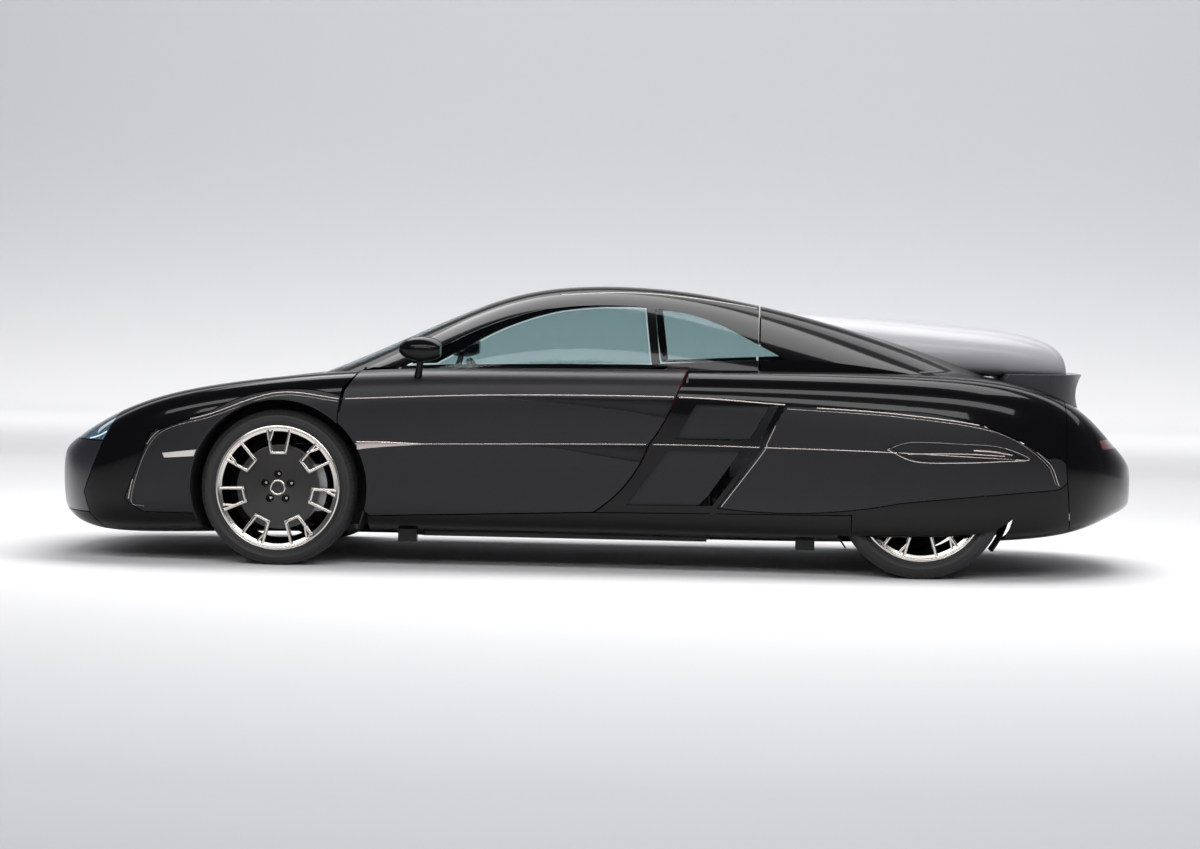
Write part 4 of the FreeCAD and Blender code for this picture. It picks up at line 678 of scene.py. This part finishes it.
def ring_faces(steps, count, swapped):
    """Faces between the closed sections of a ring."""
    faces = []
    for n in range(steps):
        for m in range(count):
            a, b = n * count + m, n * count + (m + 1) % count
            c, d = (n + 1) % steps * count + (m + 1) % count, (n + 1) % steps * count + m
            faces.append((d, c, b, a) if swapped else (a, b, c, d))
    return faces


def lathe(profile, steps, centre, hand):
    """Points and faces of a closed turned ring; the profile runs in radius and outboard height."""
    points = []
    for n in range(steps):
        points += [about(centre, 2 * math.pi * n / steps, radius, hand * out) for radius, out in profile]
    return points, ring_faces(steps, len(profile), hand < 0)


def along_path(points):
    """Even places along straight legs."""
    line = []
    for start, end in zip(points, points[1:]):
        start, end = Vector(start), Vector(end)
        count = max(2, int((end - start).length / path_step))
        line += [start.lerp(end, n / count) for n in range(count)]
    return line + [Vector(points[-1])]


def rounded_path(points):
    """A path in the wheel's face with its inner corners rounded."""
    path = [points[0]]
    for before, corner, after in zip(points, points[1:], points[2:]):
        before, corner, after = Vector(before), Vector(corner), Vector(after)
        start = corner + (before - corner).normalized() * path_corner
        end = corner + (after - corner).normalized() * path_corner
        for n in range(path_corner_steps + 1):
            t = n / path_corner_steps
            path.append(tuple(start * (1 - t) ** 2 + corner * 2 * t * (1 - t) + end * t * t))
    return path + [points[-1]]


def wheel_faces(half):
    """The material of each rim face: 0 dark disc, 1 bright, 2 barrel."""
    def choose(reach, height, facing_out, sideways):
        chosen = np.full(len(reach), 2)
        ribs = reach > rib_start - slack
        chosen[(reach < disc_reach + slack) & (height > half - disc_depth)] = 0
        chosen[ribs & (height > half - rib_face_depth) & (facing_out > 0.5)] = 1
        chosen[(sideways > 0.3) & ribs & (height > half - rib_wall_depth)] = 1
        chosen[(reach > lip_reach) & (height > half - lip_depth)] = 1
        chosen[(reach < hub_reach) & (height <= half - disc_depth)] = 0
        return chosen
    return choose


for end, name, hand, centre, half, rim, radius in corners_of_car:
    body = f"{end}_wheel_{name}"
    rim_node = f"{end}_rim_{name}"
    spun(rim_node, f"{rim_node}_alloy", centre, (wheel_dark, wheel_bright, barrel_dark), wheel_faces(half))
    rib_reach = rim - 0.0195
    loop = rounded_path([(-loop_spread, rib_reach), (-loop_foot, rib_start + loop_lift),
                         (loop_foot, rib_start + loop_lift), (loop_spread, rib_reach)])
    fork = [(-0.040, rib_reach - 0.052), (-0.031, rib_reach - 0.028), (-0.024, rib_reach)]
    crown_out = hand * (half - face_in - 0.0002)
    strips = []
    for n in range(loop_count):
        turn = 2 * math.pi * n / loop_count
        for path in (loop, fork):
            places = []
            for spot in along_path([(leg[0], leg[1], 0) for leg in path]):
                across, up = spot.x * -hand, spot.y
                along = across * math.cos(turn) + up * math.sin(turn)
                rise = up * math.cos(turn) - across * math.sin(turn)
                places.append(Vector((centre[0] + along, centre[1] + crown_out, centre[2] + rise)))
            facings = [Vector((0, hand, 0))] * len(places)
            strips.append(strip(places, facings, crown_width, crown_height, crown_sunk))
    bright = (wheel_bright, body, "wheel_metal")
    turned_out(solid_piece(f"{end}_loops_{name}", *joined(strips), *bright, sharp=0.9))
    edge = half - lip_in
    lip = [(rim - 0.012, edge - 0.003), (rim - 0.011, edge + 0.0005), (rim - 0.008, edge + 0.002),
           (rim - 0.004, edge + 0.002), (rim - 0.0012, edge + 0.0006), (rim - 0.0005, edge - 0.003)]
    solid_piece(f"{end}_lip_{name}", *lathe(lip, 144, centre, hand), *bright, sharp=0.9)
    cap = [(0.0004, half - 0.0150), (0.018, half - 0.0150), (0.0235, half - 0.0158), (0.025, half - 0.0185),
           (0.025, half - 0.024), (0.0004, half - 0.024)]
    solid_piece(f"{end}_cap_{name}", *lathe(cap, 48, centre, hand), wheel_dark, body, "wheel_metal")
    ring = [(0.0255, half - 0.0155), (0.0275, half - 0.0142), (0.0305, half - 0.0142),
            (0.0325, half - 0.0158), (0.0325, half - 0.022), (0.0255, half - 0.022)]
    solid_piece(f"{end}_cap_ring_{name}", *lathe(ring, 64, centre, hand), *bright)
    bolts = []
    for n in range(bolt_count):
        spot = about(centre, 2 * math.pi * n / bolt_count, bolt_circle, 0)
        bolts.append(lathe(bolt_head, 6, spot, hand))
    solid_piece(f"{end}_bolts_{name}", *joined(bolts), *bright, sharp=0.4)

# Tyres
# Low-profile road rubber with rounded shoulders. The tread has three grooves round it, and each shoulder is
# notched all the way round; the sidewalls carry faint moulded rings.
rubber = finish("tyre_rubber", (0.011, 0.011, 0.012), 0.6)
grain = noises("rubber_grain", ("Grain", 700.0, 2.0), ("Wear", 12.0, 4.0))
worked(rubber, grain, {"Grain": 650.0, "Wear": 9.0}, ("Grain", 0.0003, 0.4), ("Wear", 0.5, 0.72),
       ("Wear", (0.008, 0.008, 0.009), (0.020, 0.020, 0.021)))
notch_count = 104
notch_steps = 4
notch_depth = 0.0026
groove_depth = 0.006
groove_top = 0.0060
groove_foot = 0.0045
tyre_steps = notch_count * notch_steps
for end, name, hand, centre, half, rim, radius in corners_of_car:
    bead = [(rim - 0.0147, half - 0.0270), (rim - 0.001, half - 0.0165), (rim + 0.008, half - 0.0085),
            (rim + 0.0165, half - 0.0035), (rim + 0.0175, half - 0.0024), (rim + 0.0195, half - 0.0020),
            (rim + 0.0205, half - 0.0026), (rim + 0.030, half - 0.0006), (rim + 0.031, half + 0.0004),
            (rim + 0.034, half + 0.0004), (rim + 0.035, half - 0.0006), (rim + 0.042, half - 0.0020),
            (radius - 0.017, half - 0.0085)]
    shoulder = [(radius - 0.0135, half - 0.0115), (radius - 0.0085, half - 0.0165),
                (radius - 0.0045, half - 0.0230), (radius - 0.0018, half - 0.0310)]
    grooves = []
    for middle in (0.50 * half, 0.0):
        grooves += [(radius, middle + groove_top, 0), (radius - groove_depth, middle + groove_foot, 0),
                    (radius - groove_depth, middle - groove_foot, 0), (radius, middle - groove_top, 0)]
    outer = [(reach, out, 0) for reach, out in bead] + [(reach, out, notch_depth) for reach, out in shoulder]
    outer += [(radius - 0.0006, half - 0.0400, 0)] + grooves[:4]
    profile = outer + grooves[4:] + [(reach, -out, cut) for reach, out, cut in reversed(outer)]
    profile += [(rim - 0.012, -(half - 0.032), 0), (rim + 0.02, -(half - 0.03), 0),
                (rim + 0.02, half - 0.03, 0), (rim - 0.012, half - 0.032, 0)]
    points = []
    for n in range(tyre_steps):
        turn = 2 * math.pi * n / tyre_steps
        notched = n % notch_steps == 0
        points += [about(centre, turn, reach - cut * notched, hand * out) for reach, out, cut in profile]
    faces = ring_faces(tyre_steps, len(profile), hand > 0)
    node = f"{end}_tyre_{name}"
    tyre = solid_piece(f"{node}_rubber", points, faces, rubber, f"{end}_wheel_{name}", "tyre", sharp=0.6)
    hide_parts(node)

# Brakes
# Ground iron discs behind the wheels, worn unevenly by the pads. They turn with the wheels.
ground = finish("ground_iron", (0.24, 0.23, 0.22), 0.34, metallic=1.0)
rings, given, taken, place = effect("pad_rings", [("Fineness", 900.0)], ["Ring"])
wear = stretched(rings, place, given, {"X": "Fineness", "Z": "Fineness"})
rings.links.new(noise(rings, wear, 0.2, 2.0), taken.inputs["Ring"])
worked(ground, rings, {"Fineness": 700.0}, ("Ring", 0.0002, 0.3), ("Ring", 0.24, 0.46))
for end, name, hand, centre, half, rim, radius in corners_of_car:
    spun(f"{end}_brake_disc_{name}", f"{end}_disc_{name}_iron", centre, (ground,),
         lambda reach, *others: np.zeros(len(reach)))

# Chassis
# Satin black tube and sheet for the frames and linings, cast alloy for the uprights, arms and engine. They
# show only through the wheels and the arches.
cast = noises("cast_grain", ("Grain", 300.0, 3.0), ("Soot", 7.0, 5.0))
casting = finish("cast_alloy", (0.30, 0.30, 0.31), 0.45, metallic=1.0)
worked(casting, cast, {"Grain": 320.0, "Soot": 9.0}, ("Grain", 0.0006, 0.5), ("Soot", 0.34, 0.62))
tube = finish("satin_black_frame", (0.03, 0.03, 0.032), 0.5)
worked(tube, cast, {"Grain": 500.0, "Soot": 6.0}, ("Grain", 0.0003, 0.3), ("Soot", 0.4, 0.62))
pan = finish("underbody_black", (0.014, 0.014, 0.015), 0.6)
worked(pan, cast, {"Grain": 420.0, "Soot": 5.0}, ("Grain", 0.0005, 0.4), ("Soot", 0.5, 0.75),
       ("Soot", (0.010, 0.010, 0.011), (0.022, 0.021, 0.020)))
by_slot = {"underbody": pan, "frame_metal": tube, "cast_metal": casting, "engine_metal": casting}


def painted(node, material):
    """Gives a node's own mesh one material."""
    mesh = frame["nodes"][node].data
    mesh.materials.clear()
    mesh.materials.append(material)


for node, slot in slot_of_node.items():
    if slot in by_slot:
        painted(node, by_slot[slot])

# Painted shade in the wheel arches
# A round dark sheet stands behind each wheel as painted shade, so the openings of the wheel show dark. It is
# fixed to the body, well inside the steered wheels, and dished round its middle.
shade_disc_inner = {"front": 0.520, "rear": 0.575}
shade_disc_reach = {"front": 0.385, "rear": 0.395}
shade_disc_thickness = 0.003
shade_disc_low = 0.150
shade_disc_steps = 96
dish_share = 0.55
dish_depth = 0.012
for end, name, hand, centre, half, rim, radius in corners_of_car:
    edge = []
    for n in range(shade_disc_steps + 1):
        turn = math.pi * 2 * n / shade_disc_steps
        up = centre[2] + shade_disc_reach[end] * math.cos(turn)
        if up > shade_disc_low:
            edge.append((shade_disc_reach[end] * math.sin(turn), up))
    edge.sort(key=lambda spot: math.atan2(spot[0], spot[1] - centre[2]))
    points, faces = [], []
    count = len(edge)
    for out in (shade_disc_inner[end], shade_disc_inner[end] + shade_disc_thickness):
        points += [(centre[0] + along, hand * out, up) for along, up in edge]
        points += [(centre[0] + along * dish_share, hand * (out + dish_depth),
                    centre[2] + (up - centre[2]) * dish_share) for along, up in edge]
    for base in (0, 2 * count):
        for n in range(count):
            following = (n + 1) % count
            faces.append((base + n, base + following, base + count + following, base + count + n))
        faces.append(tuple(base + count + n for n in range(count)))
    for n in range(count):
        following = (n + 1) % count
        faces.append((n, 2 * count + n, 2 * count + following, following))
    # Each sheet is painted shade: a dark disc that darkens what is seen through the wheel.
    turned_out(solid_piece(f"{end}_arch_shade_disc_{name}", points, faces, pan, "body", "underbody"))

# Seats
# Two shells trimmed in red hide. Each carries a thick cushion and a tall padded back, stuffed and sewn with a
# piped edge.
hide_first = [("Grain", 220.0), ("Crease", 14.0)]
hide_grain, given, taken, place = effect("hide_grain", hide_first, ["Grain", "Crease"])
cells = hide_grain.nodes.new("ShaderNodeTexVoronoi")
hide_grain.links.new(place, cells.inputs["Vector"])
hide_grain.links.new(given.outputs["Grain"], cells.inputs["Scale"])
hide_grain.links.new(cells.outputs["Distance"], taken.inputs["Grain"])
hide_grain.links.new(noise(hide_grain, place, given.outputs["Crease"], 5.0), taken.inputs["Crease"])
red_hide = finish("red_leather", (0.33, 0.012, 0.014), 0.45)
worked(red_hide, hide_grain, {"Grain": 260.0, "Crease": 12.0}, ("Grain", 0.0008, 0.4), ("Crease", 0.38, 0.56),
       ("Crease", (0.24, 0.008, 0.010), (0.40, 0.016, 0.018)))
painted("seats", red_hide)
thread = finish("dark_piping", (0.05, 0.006, 0.007), 0.5)
worked(thread, hide_grain, {"Grain": 500.0, "Crease": 30.0}, rough=("Crease", 0.42, 0.6))
seat_middle = 0.37
probe_high = 1.5
probe_ahead = -1.2
probe_reach = 2.0
pad_cells = 18
pad_thickness = 0.014
corner_round = 0.16
piping_ring = 6
piping_girth = 0.0032


def cushion(name, origin, along, across, crown):
    """A stuffed pad with crowned faces: half sizes along its two edges, and its outward crown."""
    along, across = Vector(along), Vector(across)
    out = along.cross(across).normalized()
    points, faces, index = [], [], {}
    for face in (1, -1):
        for n in range(pad_cells + 1):
            for m in range(pad_cells + 1):
                u, v = 2 * n / pad_cells - 1, 2 * m / pad_cells - 1
                rim = max(abs(u), abs(v)) > 0.999
                if rim and face < 0:
                    index[face, n, m] = index[1, n, m]
                    continue
                round_u = u * math.sqrt(1 - corner_round * v * v)
                round_v = v * math.sqrt(1 - corner_round * u * u)
                edge = (1 - abs(u) ** 5) * (1 - abs(v) ** 5)
                swell = pad_thickness * edge ** 0.35 + crown * (1 - u * u) * (1 - v * v)
                index[face, n, m] = len(points)
                points.append(Vector(origin) + along * round_u + across * round_v
                              + out * face * (0 if rim else swell))
    for face in (1, -1):
        for n in range(pad_cells):
            for m in range(pad_cells):
                quad = [index[face, n, m], index[face, n + 1, m], index[face, n + 1, m + 1],
                        index[face, n, m + 1]]
                faces.append(tuple(quad if face > 0 else reversed(quad)))
    pad = solid_piece(name, points, faces, red_hide, "body", "red_leather", sharp=2.6)
    smoother = pad.modifiers.new("filling", "SUBSURF")
    smoother.levels = 1
    smoother.render_levels = 1
    steps = range(pad_cells)
    border = [(n, 0) for n in steps] + [(pad_cells, m) for m in steps]
    border += [(pad_cells - n, pad_cells) for n in steps] + [(0, pad_cells - m) for m in steps]
    loop = [points[index[1, n, m]] for n, m in border]
    points, faces = [], []
    count, ring = len(loop), piping_ring
    for n, spot in enumerate(loop):
        ahead = (loop[(n + 1) % count] - loop[n - 1]).normalized()
        side = ahead.cross(out).normalized()
        for m in range(ring):
            turn = 2 * math.pi * m / ring
            points.append(spot + side * (piping_girth * math.cos(turn))
                          + out * (piping_girth * math.sin(turn)))
    for n in range(count):
        following = (n + 1) % count
        for m in range(ring):
            beside = (m + 1) % ring
            faces.append((n * ring + m, following * ring + m, following * ring + beside, n * ring + beside))
    solid_piece(f"{name}_piping", points, faces, thread, "body", "red_leather", sharp=2.6)


def seat_point(side, along, up, facing):
    """Where a ray meets the seat's shell."""
    start = Vector((along, side * seat_middle, up))
    return surface_of("seats").ray_cast(start, Vector(facing), probe_reach)[0]


for side, name in sides:
    front = seat_point(side, -0.34, probe_high, (0, 0, -1))
    back = seat_point(side, -0.12, probe_high, (0, 0, -1))
    middle = (front + back) / 2 + Vector((0, 0, pad_thickness))
    cushion(f"seat_cushion_{name}", middle, (back - front) / 2 * 1.18, (0, 0.165, 0), 0.018)
    low = seat_point(side, probe_ahead, 0.44, (1, 0, 0))
    high = seat_point(side, probe_ahead, 0.72, (1, 0, 0))
    back_up = (high - low) / 2
    lean = Vector((-back_up.z, 0, back_up.x)).normalized()
    middle = (low + high) / 2 + lean * pad_thickness
    cushion(f"seat_back_{name}", middle, back_up * 1.05, (0, 0.150, 0), 0.016)

# Dashboard and steering wheel
# A dark leather-trimmed dashboard across the cabin, and a round wheel on a boss in front of the driver on the
# left. Short stitches run round the inner side of its rim.
dark_hide = finish("dark_leather", (0.022, 0.020, 0.020), 0.5)
worked(dark_hide, hide_grain, {"Grain": 300.0, "Crease": 10.0}, ("Grain", 0.0007, 0.4), ("Crease", 0.42, 0.6))
for node in ("dashboard", "steering_wheel"):
    painted(node, dark_hide)
wheel_middle = Vector((-0.515, -0.37, 0.69))
wheel_reach = 0.175
wheel_tilt = math.radians(72)
grip_radius = 0.0135
stitch_half = 0.003
stitch_slant = 0.002
stitch_count = 60
face_out = Vector((math.sin(wheel_tilt), 0, math.cos(wheel_tilt)))
upright = Vector((-math.cos(wheel_tilt), 0, math.sin(wheel_tilt)))
sideways = Vector((0, 1, 0))
stitches = []
for n in range(stitch_count):
    turn = 2 * math.pi * n / stitch_count
    spot = wheel_middle + (sideways * math.cos(turn) + upright * math.sin(turn)) * (wheel_reach - grip_radius)
    ahead = -sideways * math.sin(turn) + upright * math.cos(turn)
    inward = (wheel_middle - spot).normalized()
    ends = [spot - ahead * stitch_half - face_out * stitch_slant,
            spot + ahead * stitch_half + face_out * stitch_slant]
    stitches.append(strip(ends, [inward, inward], 0.0012, 0.0010, 0.0012))
solid_piece("steering_stitches", *joined(stitches), thread, "body", "red_leather")

# Studio
# A pale floor that runs up into a light grey wall, which is brightest at its foot. Both carry painted light:
# the floor is painted darker towards the camera and the wall is painted darker upwards. Five soft lights hang
# out of view: over the car, before the wall, over the floor behind the car, and two on the photographed side.
floor_half = 40.0
floor_near = 18.0
wall_back = 24.0
wall_radius = 5.0
wall_top = 12.0
bend_steps = 16
bends = [math.pi / 2 * n / bend_steps for n in range(bend_steps + 1)]
profile = [(-floor_near, 0.0), (-9.0, 0.0), (-4.0, 0.0), (0.0, 0.0)]
profile += [(wall_back - wall_radius + wall_radius * math.sin(turn),
             wall_radius - wall_radius * math.cos(turn)) for turn in bends]
profile.append((wall_back, wall_top))
mesh = bpy.data.meshes.new("studio")
mesh.from_pydata([(x, y, z) for y, z in profile for x in (-floor_half, floor_half)], [],
                 [(2 * n, 2 * n + 1, 2 * n + 3, 2 * n + 2) for n in range(len(profile) - 1)])
mesh.polygons.foreach_set("use_smooth", [True] * len(mesh.polygons))
studio = bpy.data.objects.new("studio", mesh)
bpy.context.scene.collection.objects.link(studio)
backdrop = finish("pale_backdrop", (0.80, 0.80, 0.81), 0.75)
# Painted light: the floor is painted darker towards the camera and the wall darker upwards from its foot.
grades = [("Near", -7.0), ("Far", -1.6), ("Foot", 0.1), ("Head", 4.8), ("Fall", 3.0)]
painted_falloff, given, taken, place = effect("backdrop_painted_falloff", grades, ["PaintedLight"])
axes = axes_of(painted_falloff, place)
floor_painted_falloff = painted_falloff.nodes.new("ShaderNodeMapRange")
wall_painted_falloff = painted_falloff.nodes.new("ShaderNodeMapRange")
for grade, axis, low, high in ((floor_painted_falloff, "Y", "Near", "Far"), (wall_painted_falloff, "Z", "Head", "Foot")):
    painted_falloff.links.new(axes[axis], grade.inputs["Value"])
    painted_falloff.links.new(given.outputs[low], grade.inputs["From Min"])
    painted_falloff.links.new(given.outputs[high], grade.inputs["From Max"])
steeper = sum_of(painted_falloff, "POWER", wall_painted_falloff.outputs["Result"], given.outputs["Fall"])
painted_falloff.links.new(sum_of(painted_falloff, "MULTIPLY", floor_painted_falloff.outputs["Result"], steeper), taken.inputs["PaintedLight"])
worked(backdrop, painted_falloff, dict(grades), tint=("PaintedLight", (0.50, 0.505, 0.525), (0.86, 0.86, 0.865)))
mesh.materials.append(backdrop)


def softbox(name, place, aim, width, depth, power):
    """A rectangular soft light that faces a point."""
    lamp = bpy.data.lights.new(name, "AREA")
    lamp.shape = "RECTANGLE"
    lamp.size = width
    lamp.size_y = depth
    lamp.energy = power
    light = bpy.data.objects.new(name, lamp)
    light.location = place
    light.rotation_mode = "QUATERNION"
    light.rotation_quaternion = (Vector(aim) - Vector(place)).to_track_quat("-Z", "Y")
    bpy.context.scene.collection.objects.link(light)


softbox("overhead", (0.4, 0.5, 4.4), (0.2, 0.1, 0), 7.0, 2.4, 330)
softbox("wall_wash", (0, 15.0, 7.5), (0, 23.0, 1.2), 30.0, 3.0, 1500)
softbox("floor_wash", (0, 7.0, 7.5), (0, 9.0, 0.0), 28.0, 6.0, 1100)
softbox("front_fill", (0, -7.5, 6.0), (0, -2.6, 0.0), 14.0, 1.6, 440)
softbox("side_fill", (-0.5, -9.5, 3.9), (0, 0, 1.0), 9.0, 1.0, 190)
air_on_car = 0.16
air_in_view = 0.85
world = bpy.data.worlds.new("studio_air")
world.use_nodes = True
air = world.node_tree
air.nodes["Background"].inputs["Color"].default_value = (0.64, 0.66, 0.70, 1)
air_strength = air.nodes.new("ShaderNodeMapRange")
air_strength.inputs["To Min"].default_value = air_on_car
air_strength.inputs["To Max"].default_value = air_in_view
air.links.new(air.nodes.new("ShaderNodeLightPath").outputs["Is Camera Ray"], air_strength.inputs["Value"])
air.links.new(air_strength.outputs["Result"], air.nodes["Background"].inputs["Strength"])
bpy.context.scene.world = world
bpy.context.scene.view_settings.view_transform = "Standard"

# Camera
# A long lens almost square to the left side, a little above the sills, with a slight roll as in the
# photograph.
camera_away = 14.0
camera_forward = -0.0185
camera_height = 1.038
camera_turn = math.radians(2.5)
camera_pitch = math.radians(1.858)
camera_roll = math.radians(1.126)
camera_sees = 200
sensor_width = 36
lens_share = 3164 / 1200
camera = bpy.data.objects.new("camera", bpy.data.cameras.new("camera"))
camera.data.sensor_width = sensor_width
camera.data.lens = sensor_width * lens_share
camera.data.clip_end = camera_sees
away = Vector((math.sin(camera_turn), -math.cos(camera_turn), 0)) * camera_away
look = Vector((-math.sin(camera_turn) * math.cos(camera_pitch),
               math.cos(camera_turn) * math.cos(camera_pitch), -math.sin(camera_pitch)))
across = look.cross(Vector((0, 0, 1))).normalized()
upright = across.cross(look)
right = across * math.cos(camera_roll) + upright * math.sin(camera_roll)
over = upright * math.cos(camera_roll) - across * math.sin(camera_roll)
turned = Matrix((right, over, -look)).transposed().to_4x4()
turned.translation = Vector((camera_forward, 0, camera_height)) + away
camera.matrix_world = turned
bpy.context.scene.collection.objects.link(camera)
bpy.context.scene.camera = camera
